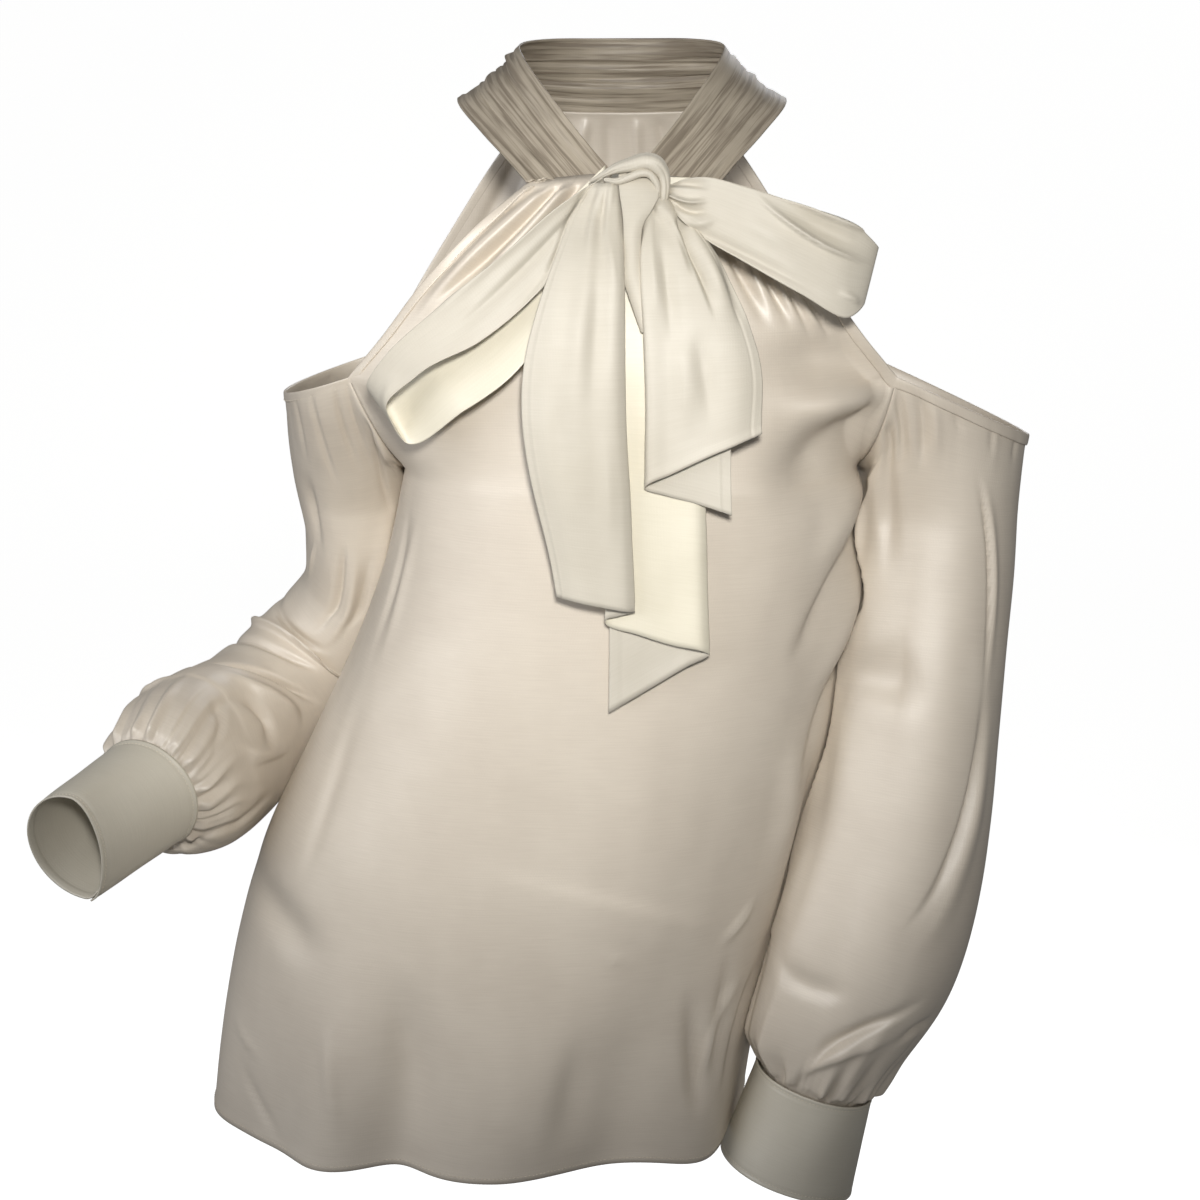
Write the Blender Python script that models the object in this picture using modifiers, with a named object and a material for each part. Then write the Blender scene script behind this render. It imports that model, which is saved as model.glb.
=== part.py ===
"""A silk blouse, worn: a halter neckband with a tied bow, open shoulders, full sleeves and deep cuffs.

Metres, +Z up, the front faces -Y, +X is the wearer's left. The origin is the middle of the neck opening,
level with the top of the neckband at the sides of the neck. Each cut piece of cloth is one open surface
with a Solidify wall. Names with right and left are the wearer's.
"""

import math

import bmesh
import bpy
import numpy as np

# Driving sizes.
CLOTH = 0.0010  # wall of one layer
BAND = 0.0014  # wall of the folded neckband, the cuffs and the bindings
GAP = 0.0003  # between pieces at a seam
BINDING_WIDTH = 0.0065
HEM_Z = -0.657
UNDERARM_Z = -0.245
ARMHOLE_MIDDLE_Z = -0.190  # centre front and back, level with the open end of the sleeve
NECK_SEAM_Z = -0.0780
BINDING_LIFT, CORNER_LIFT = GAP * 2, GAP * 4  # the binding's height off the cloth, and at its corners
NECKBAND_ROUND = 0.0025  # how far the middle of the neckband's width stands out

RIGHT, LEFT = -1, 1
FRONT, BACK = -1, 1

# Half the turn that the panels make round the body, in degrees: at the underarm, the top of the armhole and
# the neckband.
UNDERARM_TURN, ARMHOLE_TURN, NECK_TURN = 90, 58, 25
FLUTE_FADE = 8  # the flutes die out over one part in this many of the panel beside the side seam

# The sleeve's open top.
OPEN_TURN = 120  # degrees from outwards to each end of the open shoulder
OUTER_TOP = {LEFT: (0.2450, -0.0050, -0.2270), RIGHT: (0.2040, 0.0150, -0.2020)}
SLEEVE_LEDGE = 0.0018  # the sleeve starts this far outside the armhole seam
TOP_BLEND = 0.16  # the share of the sleeve over which its top line settles into round sections
TOP_DROP, UNDERARM_FLARE = 0.030, 0.010  # how far it falls over that share, and leaves the body's side
SLEEVE_END = 0.0020  # the share of the sleeve left as the gap to its cuff

# Grid steps of the faceted cloth.
BODY_STEPS, ARMHOLE_STEPS, OPEN_STEPS = 9, 4, 7
FRONT_COLUMNS, BACK_COLUMNS = 22, 14
SLEEVE_COLUMNS = 24  # the first and last eight are the open top, the middle eight the armhole seam
SLEEVE_STEPS = 12
CUFF_COLUMNS, CUFF_STEPS = 24, 2
NECKBAND_COLUMNS, NECKBAND_STEPS = 28, 4
LOOP_COLUMNS, LOOP_STEPS = 18, 4
TAIL_STEPS = 10


def table(columns, *rows):
    """Rows of numbers as a dict of named columns."""
    return dict(zip(columns.split(), np.array(rows, float).T))


# The worn body, level by level: the sides, the middle of the front and of the back, and the shape of each
# half's section: 1 is an ellipse, less is squarer, more is flatter towards the arms.
BODY = table(
    "z       right    left    front    back    front_shape back_shape",
    (-0.672, -0.2650, 0.0800, -0.1240, 0.1210, 1.00, 1.00),
    (-0.600, -0.2560, 0.0900, -0.1250, 0.1170, 0.98, 1.00),
    (-0.540, -0.2430, 0.1030, -0.1260, 0.1130, 0.94, 1.02),
    (-0.480, -0.2240, 0.1180, -0.1275, 0.1090, 0.90, 1.06),
    (-0.420, -0.1950, 0.1290, -0.1290, 0.1050, 0.86, 1.14),
    (-0.360, -0.1660, 0.1370, -0.1305, 0.1010, 0.82, 1.24),
    (-0.300, -0.1430, 0.1420, -0.1310, 0.0980, 0.79, 1.24),
    (-0.245, -0.1300, 0.1420, -0.1300, 0.0960, 0.77, 1.15),
)
# The middle of the front above the underarm, then of the back.
FRONT_MIDDLE = table(
    "z       y",
    (-0.245, -0.1300),
    (-0.190, -0.1240),
    (-0.140, -0.1110),
    (-0.105, -0.0990),
    (-0.078, -0.0900),
)
BACK_MIDDLE = table(
    "z       y",
    (-0.245, 0.0960),
    (-0.190, 0.0980),
    (-0.130, 0.0950),
    (-0.080, 0.0870),
    (-0.0395, 0.0775),
)
# The open shoulder edges, from the top of the armhole seam to the neckband.
FRONT_EDGE = table(
    "x       y        z",
    (0.1550, -0.0760, -0.1860),
    (0.1340, -0.0860, -0.1620),
    (0.1120, -0.0900, -0.1340),
    (0.0800, -0.0880, -0.1010),
    (0.0530, -0.0835, -0.0795),
)
BACK_EDGE = table(
    "x       y       z",
    (0.1530, 0.0800, -0.1860),
    (0.1330, 0.0850, -0.1500),
    (0.1050, 0.0840, -0.1050),
    (0.0760, 0.0780, -0.0620),
    (0.0560, 0.0715, -0.0375),
)
# Flutes of the hem: place across the panel, how far out and down, half-width, and height where each starts.
FRONT_FLUTES = table(
    "place  out      down     width start",
    (-0.78, 0.0040, 0.0000, 0.11, -0.56),
    (-0.34, 0.0090, 0.0010, 0.10, -0.50),
    (-0.17, -0.0090, -0.0020, 0.08, -0.52),
    (0.06, 0.0080, 0.0000, 0.13, -0.53),
    (0.31, -0.0060, 0.0020, 0.09, -0.50),
    (0.57, 0.0100, 0.0110, 0.14, -0.44),
    (0.82, -0.0030, 0.0060, 0.10, -0.55),
)
BACK_FLUTES = table(
    "place  out      down     width start",
    (-0.70, 0.0070, 0.0020, 0.11, -0.52),
    (-0.45, -0.0050, 0.0000, 0.09, -0.54),
    (-0.12, 0.0090, 0.0010, 0.13, -0.47),
    (0.18, -0.0060, 0.0000, 0.09, -0.55),
    (0.47, 0.0090, 0.0020, 0.12, -0.50),
    (0.76, -0.0040, 0.0010, 0.09, -0.56),
)
# Half of the neckband, from its front end to the nape: its neck edge, then its shoulder edge.
NECKBAND = table(
    "x_in    y_in     z_in     x_out   y_out    z_out",
    (0.0025, -0.0880, -0.0765, 0.0535, -0.0830, -0.0782),
    (0.0190, -0.0740, -0.0580, 0.0640, -0.0680, -0.0670),
    (0.0390, -0.0500, -0.0330, 0.0800, -0.0450, -0.0510),
    (0.0570, -0.0140, -0.0080, 0.0950, -0.0120, -0.0340),
    (0.0580, 0.0210, 0.0010, 0.0920, 0.0340, -0.0300),
    (0.0400, 0.0480, 0.0050, 0.0640, 0.0680, -0.0345),
    (0.0150, 0.0600, 0.0060, 0.0220, 0.0765, -0.0380),
)
# Sleeve middles from the open top to the cuff seam, x outwards, with each ring's half-width and half-depth.
LEFT_SLEEVE = table(
    "x       y        z        wide    deep",
    (0.1950, -0.0020, -0.2150, 0.0480, 0.0560),
    (0.1940, -0.0060, -0.2600, 0.0475, 0.0560),
    (0.1920, -0.0120, -0.3100, 0.0475, 0.0560),
    (0.1875, -0.0200, -0.3600, 0.0480, 0.0560),
    (0.1815, -0.0280, -0.4100, 0.0500, 0.0570),
    (0.1740, -0.0360, -0.4600, 0.0530, 0.0580),
    (0.1640, -0.0430, -0.5100, 0.0555, 0.0590),
    (0.1505, -0.0480, -0.5550, 0.0545, 0.0570),
    (0.1320, -0.0510, -0.5970, 0.0455, 0.0480),
    (0.1220, -0.0520, -0.6290, 0.0375, 0.0345),
)
RIGHT_SLEEVE = table(
    "x       y        z        wide    deep",
    (0.1640, 0.0220, -0.2050, 0.0430, 0.0600),
    (0.1660, 0.0450, -0.2500, 0.0410, 0.0560),
    (0.1660, 0.0620, -0.3000, 0.0370, 0.0520),
    (0.1740, 0.0770, -0.3460, 0.0370, 0.0490),
    (0.2040, 0.0800, -0.3900, 0.0440, 0.0470),
    (0.2360, 0.0470, -0.4200, 0.0440, 0.0520),
    (0.2540, 0.0060, -0.4310, 0.0430, 0.0580),
    (0.2660, -0.0320, -0.4290, 0.0425, 0.0560),
    (0.2720, -0.0580, -0.4250, 0.0390, 0.0480),
    (0.2800, -0.0790, -0.4300, 0.0330, 0.0345),
)
# Cuffs: the far end's middle and half-sizes, the share of its half-width kept towards the body, where the
# hand presses it, and the angle round the wrist where its ends lap.
LEFT_CUFF = {"end": (0.1060, -0.0550, -0.6900), "wide": 0.0435, "deep": 0.0385, "kept": 1, "lap_at": 215}
RIGHT_CUFF = {"end": (0.3110, -0.1270, -0.4490), "wide": 0.0330, "deep": 0.0350, "kept": 0.5, "lap_at": 233}
CUFF_LAP = 22  # degrees of lap
LAP_RISE = 60  # degrees over which the upper end of the lap rises off the lower
# Loops of the bow: the strip's upper and lower edge, out from the knot in front and back to it behind.
RIGHT_LOOP = table(
    "x_up     y_up     z_up     x_low    y_low    z_low",
    (-0.0100, -0.1230, -0.0680, -0.0100, -0.1230, -0.0860),
    (-0.0350, -0.1310, -0.0900, -0.0250, -0.1310, -0.1150),
    (-0.0630, -0.1380, -0.1140, -0.0440, -0.1400, -0.1520),
    (-0.0980, -0.1400, -0.1430, -0.0760, -0.1480, -0.1760),
    (-0.1260, -0.1360, -0.1680, -0.1060, -0.1450, -0.1840),
    (-0.1390, -0.1260, -0.1860, -0.1290, -0.1320, -0.2020),
    (-0.1330, -0.1150, -0.1850, -0.1200, -0.1200, -0.2150),
    (-0.1000, -0.1160, -0.1480, -0.0760, -0.1260, -0.1910),
    (-0.0600, -0.1150, -0.1150, -0.0440, -0.1230, -0.1580),
    (-0.0300, -0.1110, -0.0880, -0.0250, -0.1140, -0.1130),
    (-0.0100, -0.1080, -0.0690, -0.0100, -0.1080, -0.0860),
)
LEFT_LOOP = table(
    "x_up    y_up     z_up     x_low   y_low    z_low",
    (0.0270, -0.1230, -0.0690, 0.0270, -0.1230, -0.0890),
    (0.0420, -0.1310, -0.0750, 0.0390, -0.1340, -0.1060),
    (0.0620, -0.1360, -0.0800, 0.0640, -0.1390, -0.1200),
    (0.0950, -0.1360, -0.0900, 0.0930, -0.1400, -0.1360),
    (0.1210, -0.1310, -0.0990, 0.1180, -0.1330, -0.1480),
    (0.1360, -0.1200, -0.1120, 0.1290, -0.1210, -0.1400),
    (0.1230, -0.1090, -0.1030, 0.1170, -0.1110, -0.1420),
    (0.0930, -0.1080, -0.0920, 0.0920, -0.1110, -0.1310),
    (0.0600, -0.1080, -0.0820, 0.0620, -0.1100, -0.1160),
    (0.0400, -0.1080, -0.0760, 0.0380, -0.1090, -0.1030),
    (0.0270, -0.1080, -0.0700, 0.0270, -0.1080, -0.0890),
)
# Tails of the bow across their width: x and y under the knot, where they spread and at the hem, and its z.
RIGHT_TAIL = table(
    "x_top    y_top    x_spread y_spread x_hem    y_hem    z_hem",
    (-0.0180, -0.1290, -0.0520, -0.1500, -0.0365, -0.1510, -0.2960),
    (-0.0140, -0.1310, -0.0380, -0.1545, -0.0260, -0.1550, -0.2980),
    (-0.0070, -0.1320, -0.0180, -0.1550, -0.0120, -0.1550, -0.3010),
    (-0.0020, -0.1300, -0.0030, -0.1525, 0.0030, -0.1530, -0.3040),
    (-0.0010, -0.1265, 0.0000, -0.1480, 0.0062, -0.1490, -0.3050),
    (-0.0040, -0.1230, -0.0060, -0.1440, -0.0030, -0.1460, -0.3080),
    (-0.0070, -0.1220, -0.0120, -0.1430, -0.0100, -0.1440, -0.3110),
    (-0.0070, -0.1205, -0.0110, -0.1415, -0.0095, -0.1425, -0.3130),
    (-0.0020, -0.1200, 0.0000, -0.1410, 0.0080, -0.1430, -0.3190),
    (0.0060, -0.1200, 0.0180, -0.1410, 0.0270, -0.1430, -0.3250),
    (0.0110, -0.1195, 0.0330, -0.1405, 0.0445, -0.1425, -0.3290),
    (0.0120, -0.1180, 0.0350, -0.1385, 0.0470, -0.1395, -0.3310),
    (0.0080, -0.1170, 0.0250, -0.1375, 0.0340, -0.1380, -0.3390),
    (0.0020, -0.1165, 0.0080, -0.1370, 0.0150, -0.1375, -0.3510),
    (-0.0040, -0.1165, -0.0060, -0.1370, -0.0080, -0.1375, -0.3650),
)
LEFT_TAIL = table(
    "x_top    y_top    x_spread y_spread x_hem    y_hem    z_hem",
    (0.0280, -0.1250, 0.0690, -0.1420, 0.0730, -0.1470, -0.2080),
    (0.0250, -0.1280, 0.0580, -0.1480, 0.0600, -0.1530, -0.2130),
    (0.0210, -0.1295, 0.0400, -0.1500, 0.0430, -0.1550, -0.2200),
    (0.0160, -0.1290, 0.0220, -0.1500, 0.0240, -0.1550, -0.2290),
    (0.0130, -0.1280, 0.0110, -0.1490, 0.0120, -0.1530, -0.2350),
    (0.0130, -0.1262, 0.0105, -0.1465, 0.0112, -0.1500, -0.2370),
    (0.0160, -0.1250, 0.0200, -0.1450, 0.0220, -0.1480, -0.2410),
    (0.0200, -0.1245, 0.0360, -0.1445, 0.0400, -0.1475, -0.2460),
    (0.0230, -0.1240, 0.0520, -0.1440, 0.0580, -0.1475, -0.2520),
)
TAIL_TOP_Z, TAIL_SPREAD_Z = -0.0925, -0.1600
TAIL_SPREAD_AT = 0.30  # the share of a tail's length above the place where it has spread
KNOT = {"middle": (0.0085, -0.1160, -0.0745), "half": (0.0175, 0.0125, 0.0160)}

# Cloth colours, as sRGB hex, with their roughness.
COLOURS = {
    "silk": ("#E4DCC8", 0.42),
    "tie_silk": ("#EFE8D4", 0.40),
    "ruched_silk": ("#CDC4B0", 0.50),
}


def smooth(knots, values, at):
    """Values at places between the knots, on cubics that pass through each of them."""
    knots, values = np.asarray(knots, float), np.asarray(values, float)
    if knots[0] > knots[-1]:
        knots, values = knots[::-1], values[::-1]
    slopes = np.gradient(values, knots, axis=0)
    first = int(np.clip(np.searchsorted(knots, at) - 1, 0, len(knots) - 2))
    step = knots[first + 1] - knots[first]
    f = (at - knots[first]) / step
    return (
        (2 * f**3 - 3 * f**2 + 1) * values[first]
        + (f**3 - 2 * f**2 + f) * step * slopes[first]
        + (3 * f**2 - 2 * f**3) * values[first + 1]
        + (f**3 - f**2) * step * slopes[first + 1]
    )


def columns_of(rows, names):
    """The named columns side by side, one row for each row of the table."""
    return np.stack([rows[name] for name in names.split()], axis=1)


def along(rows, names, f):
    """The named columns at a fraction f of the way along the line through the table's points."""
    values = columns_of(rows, names)
    lengths = np.linalg.norm(np.diff(values[:, :3], axis=0), axis=1)
    return smooth(np.append(0, np.cumsum(lengths)) / lengths.sum(), values, f)


def ease(f):
    """0 to 1 with level ends."""
    f = min(max(f, 0.0), 1.0)
    return f * f * (3 - 2 * f)


def steps(count):
    return np.linspace(0, 1, count + 1)


# --- body -----------------------------------------------------------------------------------------


def armhole(side, face, turn):
    """The armhole seam: turn 0 is its top by the open shoulder, turn 90 the underarm."""
    top = along(FRONT_EDGE if face == FRONT else BACK_EDGE, "x y z", 0)
    under_x = abs(smooth(BODY["z"], BODY["left" if side == LEFT else "right"], UNDERARM_Z))
    rise = 1 - math.sin(math.radians(turn))
    return np.array(
        (
            side * (under_x + (top[0] - under_x) * rise),
            top[1] * math.cos(math.radians(turn)),
            UNDERARM_Z + (top[2] - UNDERARM_Z) * rise,
        )
    )


def panel_edge(side, face, zone, f):
    """The edge of the front or back: zone 0 is the side seam from the hem, 1 the armhole, 2 the shoulder."""
    if zone == 0:
        z = HEM_Z + (UNDERARM_Z - HEM_Z) * f
        x = smooth(BODY["z"], BODY["left" if side == LEFT else "right"], z)
        return np.array((x, face * GAP, z))
    if zone == 1:
        point = armhole(side, face, 90 * (1 - f))
        return point + (0, face * GAP * (1 - f), 0)
    edge = along(FRONT_EDGE if face == FRONT else BACK_EDGE, "x y z", f)
    return edge * (side, 1, 1)


def panel_middle(face, zone, f):
    """The centre line of the front or back, half the turn its cloth makes round the body, and its shape."""
    side = "front" if face == FRONT else "back"
    if zone == 0:
        z = HEM_Z + (UNDERARM_Z - HEM_Z) * f
        names = ("right", "left", side, side + "_shape")
        right, left, y, shape = (smooth(BODY["z"], BODY[name], z) for name in names)
        return np.array(((right + left) / 2, y, z)), UNDERARM_TURN, shape
    profile = FRONT_MIDDLE if face == FRONT else BACK_MIDDLE
    top_z = NECK_SEAM_Z if face == FRONT else profile["z"][-1]
    under_x = (BODY["right"][-1] + BODY["left"][-1]) / 2
    under_shape = BODY[side + "_shape"][-1]
    if zone == 1:
        z = UNDERARM_Z + (ARMHOLE_MIDDLE_Z - UNDERARM_Z) * f
        turn = UNDERARM_TURN + (ARMHOLE_TURN - UNDERARM_TURN) * f
        x, shape = under_x * (1 - f / 2), under_shape + (1 - under_shape) * f
    else:
        z = ARMHOLE_MIDDLE_Z + (top_z - ARMHOLE_MIDDLE_Z) * f
        turn = ARMHOLE_TURN + (NECK_TURN - ARMHOLE_TURN) * f
        x, shape = under_x * (1 - f) / 2, 1
    return np.array((x, smooth(profile["z"], profile["y"], z), z)), turn, shape


def panel_point(face, s, zone, f):
    """A point of the front or back: s runs from -1 at the wearer's right edge to 1 at the left edge."""
    middle, turn, shape = panel_middle(face, zone, f)
    edge = panel_edge(LEFT if s > 0 else RIGHT, face, zone, f)
    angle = math.radians(turn)
    across = (math.sin(angle * abs(s)) / math.sin(angle)) ** shape
    forward = max(math.cos(angle * s) - math.cos(angle), 0) / (1 - math.cos(angle))
    point = middle + (edge - middle) * (across, 1 - forward**shape, s * s)
    if zone:
        return point
    flutes = FRONT_FLUTES if face == FRONT else BACK_FLUTES
    fall = np.array([ease((start - point[2]) / (start - HEM_Z)) for start in flutes["start"]])
    share = fall * np.exp(-(((s - flutes["place"]) / flutes["width"]) ** 2))
    share *= min(1.0, FLUTE_FADE * (1 - abs(s)))
    out, down = np.sum(flutes["out"] * share), np.sum(flutes["down"] * share)
    return point + out * np.array((math.sin(angle * s), face * math.cos(angle * s), 0)) - (0, 0, down)


def panel_grid(face, columns):
    """Rows from the hem to the neckband, each from the wearer's right to left."""
    places = [(0, f) for f in steps(BODY_STEPS)[:-1]]
    places += [(1, f) for f in steps(ARMHOLE_STEPS)[:-1]]
    places += [(2, f) for f in steps(OPEN_STEPS)]
    across = np.linspace(-1, 1, columns + 1)
    return np.array([[panel_point(face, s, zone, f) for s in across] for zone, f in places])


# --- sleeves and cuffs ----------------------------------------------------------------------------


def ring_frame(rows, f):
    """The middle, the way down the sleeve, outwards and forwards, and the half-sizes, at a fraction f."""
    here = along(rows, "x y z wide deep", f)
    ahead, behind = along(rows, "x y z", min(f + 0.01, 1)), along(rows, "x y z", max(f - 0.01, 0))
    down = (ahead - behind) / np.linalg.norm(ahead - behind)
    out = np.array((1.0, 0, 0)) - down[0] * down
    out /= np.linalg.norm(out)
    return here[:3], down, out, np.cross(down, out), here[3], here[4]


def ring_point(rows, angle, f):
    """A point round the sleeve: angle 0 is outwards, 90 forwards, 180 towards the body."""
    middle, _, out, fore, wide, deep = ring_frame(rows, f)
    turn = math.radians(angle)
    return middle + out * wide * math.cos(turn) + fore * deep * math.sin(turn)


def sleeve_top(rows, side, angle):
    """The sleeve's top line: the open shoulder round its outside, the armhole seam towards the body."""
    if abs(angle) > OPEN_TURN:
        turn = 90 * (abs(angle) - OPEN_TURN) / (180 - OPEN_TURN)
        seam = armhole(side, FRONT if angle > 0 else BACK, turn)
        return seam * (side, 1, 1) + (SLEEVE_LEDGE, 0, 0)
    face = FRONT if angle > 0 else BACK
    end = armhole(side, face, 0) * (side, 1, 1) + (SLEEVE_LEDGE, 0, 0)
    outer = OUTER_TOP[side]
    turn = math.radians(90 * abs(angle) / OPEN_TURN)
    x = end[0] + (outer[0] - end[0]) * math.cos(turn)
    y = outer[1] + (end[1] - outer[1]) * math.sin(turn)
    z = end[2] + (outer[2] - end[2]) * math.cos(turn)
    return np.array((x, y, z))


def sleeve_point(rows, side, angle, f):
    """A point of the sleeve: near the top the round sections give way to its top line."""
    ring = ring_point(rows, angle, f)
    if f >= TOP_BLEND:
        return ring
    share = ease(f / TOP_BLEND)
    inside = (1 - math.cos(math.radians(angle))) / 2
    drop = np.array((UNDERARM_FLARE * inside, 0, -TOP_DROP)) * f / TOP_BLEND
    return (sleeve_top(rows, side, angle) + drop) * (1 - share) + ring * share


def sleeve_grid(rows, side):
    """Rows from the top to the cuff seam, each once round from the back of the inside seam."""
    angles = np.linspace(-180, 180, SLEEVE_COLUMNS + 1)[:-1]
    last = 1 - SLEEVE_END
    points = [[sleeve_point(rows, side, a, f * last) for a in angles] for f in steps(SLEEVE_STEPS)]
    return np.array(points) * (side, 1, 1)


def cuff_grid(rows, cuff, side):
    """The cuff from one end of its lap right round to the other, which lies over it."""
    start, _, out, fore, wide, deep = ring_frame(rows, 1)
    end = np.array(cuff["end"])
    points = []
    for down in steps(CUFF_STEPS):
        row = []
        for f in steps(CUFF_COLUMNS):
            turn = math.radians(cuff["lap_at"] + (360 + CUFF_LAP) * f)
            lift = (BAND + 2 * GAP) * ease(1 - 360 * (1 - f) / LAP_RISE)
            a = wide + (cuff["wide"] - wide) * down + lift
            b = deep + (cuff["deep"] - deep) * down + lift
            if math.cos(turn) < 0:
                a *= 1 + (cuff["kept"] - 1) * down
            row.append(start + (end - start) * down + out * a * math.cos(turn) + fore * b * math.sin(turn))
        points.append(row)
    return np.array(points) * (side, 1, 1)


# --- neckband, bindings, bow ----------------------------------------------------------------------


def neckband_grid():
    """Rows from the shoulder edge to the neck edge, each from the right front end round to the left."""
    names = "x_in y_in z_in x_out y_out z_out"
    half = columns_of(NECKBAND, names)
    mirrored = half * (-1, 1, 1, -1, 1, 1)
    whole = np.concatenate((mirrored, half[::-1]))
    rows = dict(zip(names.split(), whole.T))
    edges = np.array([along(rows, names, f) for f in steps(NECKBAND_COLUMNS)])
    inner, outer = edges[:, :3], edges[:, 3:]
    lift = np.cross(np.gradient(inner, axis=0), inner - outer)
    lift *= NECKBAND_ROUND / np.linalg.norm(lift, axis=1, keepdims=True)
    return np.array([outer + (inner - outer) * f + lift * 4 * f * (1 - f) for f in steps(NECKBAND_STEPS)])


def outward(points, closed=False):
    """The unit normal at each point of a grid, on the side that its faces face."""
    wrapped = np.concatenate((points[:, -2:], points, points[:, :2]), axis=1) if closed else points
    across = np.gradient(wrapped, axis=1)
    if closed:
        across = across[:, 2:-2]
    normals = np.cross(across, np.gradient(points, axis=0))
    return normals / np.linalg.norm(normals, axis=2, keepdims=True)


def strip_on(edge, inside, normals, lift):
    """A strip's two rows, from an edge towards a line inside it, moved out to lie on the cloth."""
    lengths = np.linalg.norm(inside - edge, axis=1, keepdims=True)
    out = normals * np.reshape(lift, (-1, 1))
    return np.array((edge + out, edge + (inside - edge) * BINDING_WIDTH / lengths + out))


def strip_up(panel, edge, beside):
    """The binding's stations up one panel's open edge, from the top of the armhole seam to the neckband."""
    corner = BODY_STEPS + ARMHOLE_STEPS
    mitre = [corner] + list(range(corner, len(panel)))
    inside = panel[mitre, beside].copy()
    inside[0] = panel[corner - 1, edge]  # the corner's mitre runs down the armhole seam
    lift = np.full(len(mitre), BINDING_LIFT)
    lift[:2] = CORNER_LIFT
    return strip_on(panel[mitre, edge], inside, outward(panel)[mitre, edge], lift)


def binding_grid(side, front, back, sleeve):
    """The binding: down the front edge to the armhole, over the sleeve's top, and up the back edge."""
    first, last = (0, 1), (-1, -2)
    over_front = strip_up(front, *(last if side == LEFT else first))[:, ::-1]
    over_back = strip_up(back, *(first if side == LEFT else last))
    corner = round(SLEEVE_COLUMNS * (180 - OPEN_TURN) / 360)
    top = np.arange(SLEEVE_COLUMNS - corner, corner - 1, -1)
    lift = np.full(len(top), BINDING_LIFT)
    lift[[0, -1]] = CORNER_LIFT
    over_sleeve = strip_on(sleeve[0, top], sleeve[1, top], outward(sleeve, closed=True)[0, top] * side, lift)
    return np.concatenate((over_front, over_sleeve, over_back), axis=1)


def loop_grid(rows):
    """The strip of a loop: rows from its lower to its upper edge, out from the knot and back to it."""
    edges = np.array([along(rows, "x_up y_up z_up x_low y_low z_low", f) for f in steps(LOOP_COLUMNS)])
    upper, lower = edges[:, :3], edges[:, 3:]
    return np.array([lower + (upper - lower) * f for f in steps(LOOP_STEPS)])


def tail_grid(rows):
    """A tail: rows from the knot to the slanted hem, each across the folded width."""
    x = columns_of(rows, "x_top x_spread x_hem")
    y = columns_of(rows, "y_top y_spread y_hem")
    z = np.stack((np.full(len(x), TAIL_TOP_Z), np.full(len(x), TAIL_SPREAD_Z), rows["z_hem"]), axis=1)
    stations = np.stack((x, y, z), axis=2).transpose(1, 0, 2)
    return np.array([smooth((0, TAIL_SPREAD_AT, 1), stations, f) for f in steps(TAIL_STEPS)])


# --- objects --------------------------------------------------------------------------------------


def linear(channel):
    return channel / 12.92 if channel <= 0.04045 else ((channel + 0.055) / 1.055) ** 2.4


def material_of(name, finish):
    colour, roughness = COLOURS[finish]
    material = bpy.data.materials.new(name)
    material.use_nodes = True
    shader = material.node_tree.nodes["Principled BSDF"]
    rgb = [linear(int(colour[i : i + 2], 16) / 255) for i in (1, 3, 5)]
    shader.inputs["Base Color"].default_value = (*rgb, 1)
    shader.inputs["Roughness"].default_value = roughness
    shader.inputs["Metallic"].default_value = 0
    return material


def cloth(name, points, wall, finish, closed=False, flip=False, out=False):
    """One piece of cloth from a grid of points; its wall goes inwards, or outwards where out is set."""
    rows, columns = points.shape[:2]
    mesh = bpy.data.meshes.new(name)
    bm = bmesh.new()
    corners = [[bm.verts.new(point) for point in row] for row in points]
    for low, high in zip(corners[:-1], corners[1:]):
        for j in range(columns if closed else columns - 1):
            k = (j + 1) % columns
            face = (low[j], low[k], high[k], high[j])
            bm.faces.new(face[::-1] if flip else face)
    bm.to_mesh(mesh)
    bm.free()
    mesh.shade_smooth()
    mesh.materials.append(material_of(name, finish))
    piece = bpy.data.objects.new(name, mesh)
    solidify = piece.modifiers.new("wall", "SOLIDIFY")
    solidify.thickness = wall
    solidify.offset = 1 if out else -1
    blouse.objects.link(piece)
    return piece


def knot():
    """The turn of the tie: a rounded block."""
    mesh = bpy.data.meshes.new("bow_knot")
    bm = bmesh.new()
    bmesh.ops.create_cube(bm, size=2)
    cage = 1.28  # Subdivision rounds the cage to about this much less
    bmesh.ops.scale(bm, vec=[cage * half for half in KNOT["half"]], verts=bm.verts)
    bm.to_mesh(mesh)
    bm.free()
    mesh.shade_smooth()
    mesh.materials.append(material_of("bow_knot", "tie_silk"))
    piece = bpy.data.objects.new("bow_knot", mesh)
    piece.location = KNOT["middle"]
    rounding = piece.modifiers.new("rounding", "SUBSURF")
    rounding.levels = rounding.render_levels = 2
    blouse.objects.link(piece)


for old in list(bpy.data.objects):
    bpy.data.objects.remove(old)
blouse = bpy.data.collections.new("blouse")
bpy.context.scene.collection.children.link(blouse)

front = panel_grid(FRONT, FRONT_COLUMNS)
back = panel_grid(BACK, BACK_COLUMNS)[:, ::-1]
right_sleeve = sleeve_grid(RIGHT_SLEEVE, RIGHT)
left_sleeve = sleeve_grid(LEFT_SLEEVE, LEFT)
cloth("front", front, CLOTH, "silk")
cloth("back", back, CLOTH, "silk")
cloth("right_sleeve", right_sleeve, CLOTH, "silk", closed=True, flip=True)
cloth("left_sleeve", left_sleeve, CLOTH, "silk", closed=True)
cloth("right_cuff", cuff_grid(RIGHT_SLEEVE, RIGHT_CUFF, RIGHT), BAND, "silk", flip=True)
cloth("left_cuff", cuff_grid(LEFT_SLEEVE, LEFT_CUFF, LEFT), BAND, "silk")
cloth("neckband", neckband_grid(), BAND, "ruched_silk")
cloth("right_binding", binding_grid(RIGHT, front, back, right_sleeve), BAND, "silk", out=True)
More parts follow.
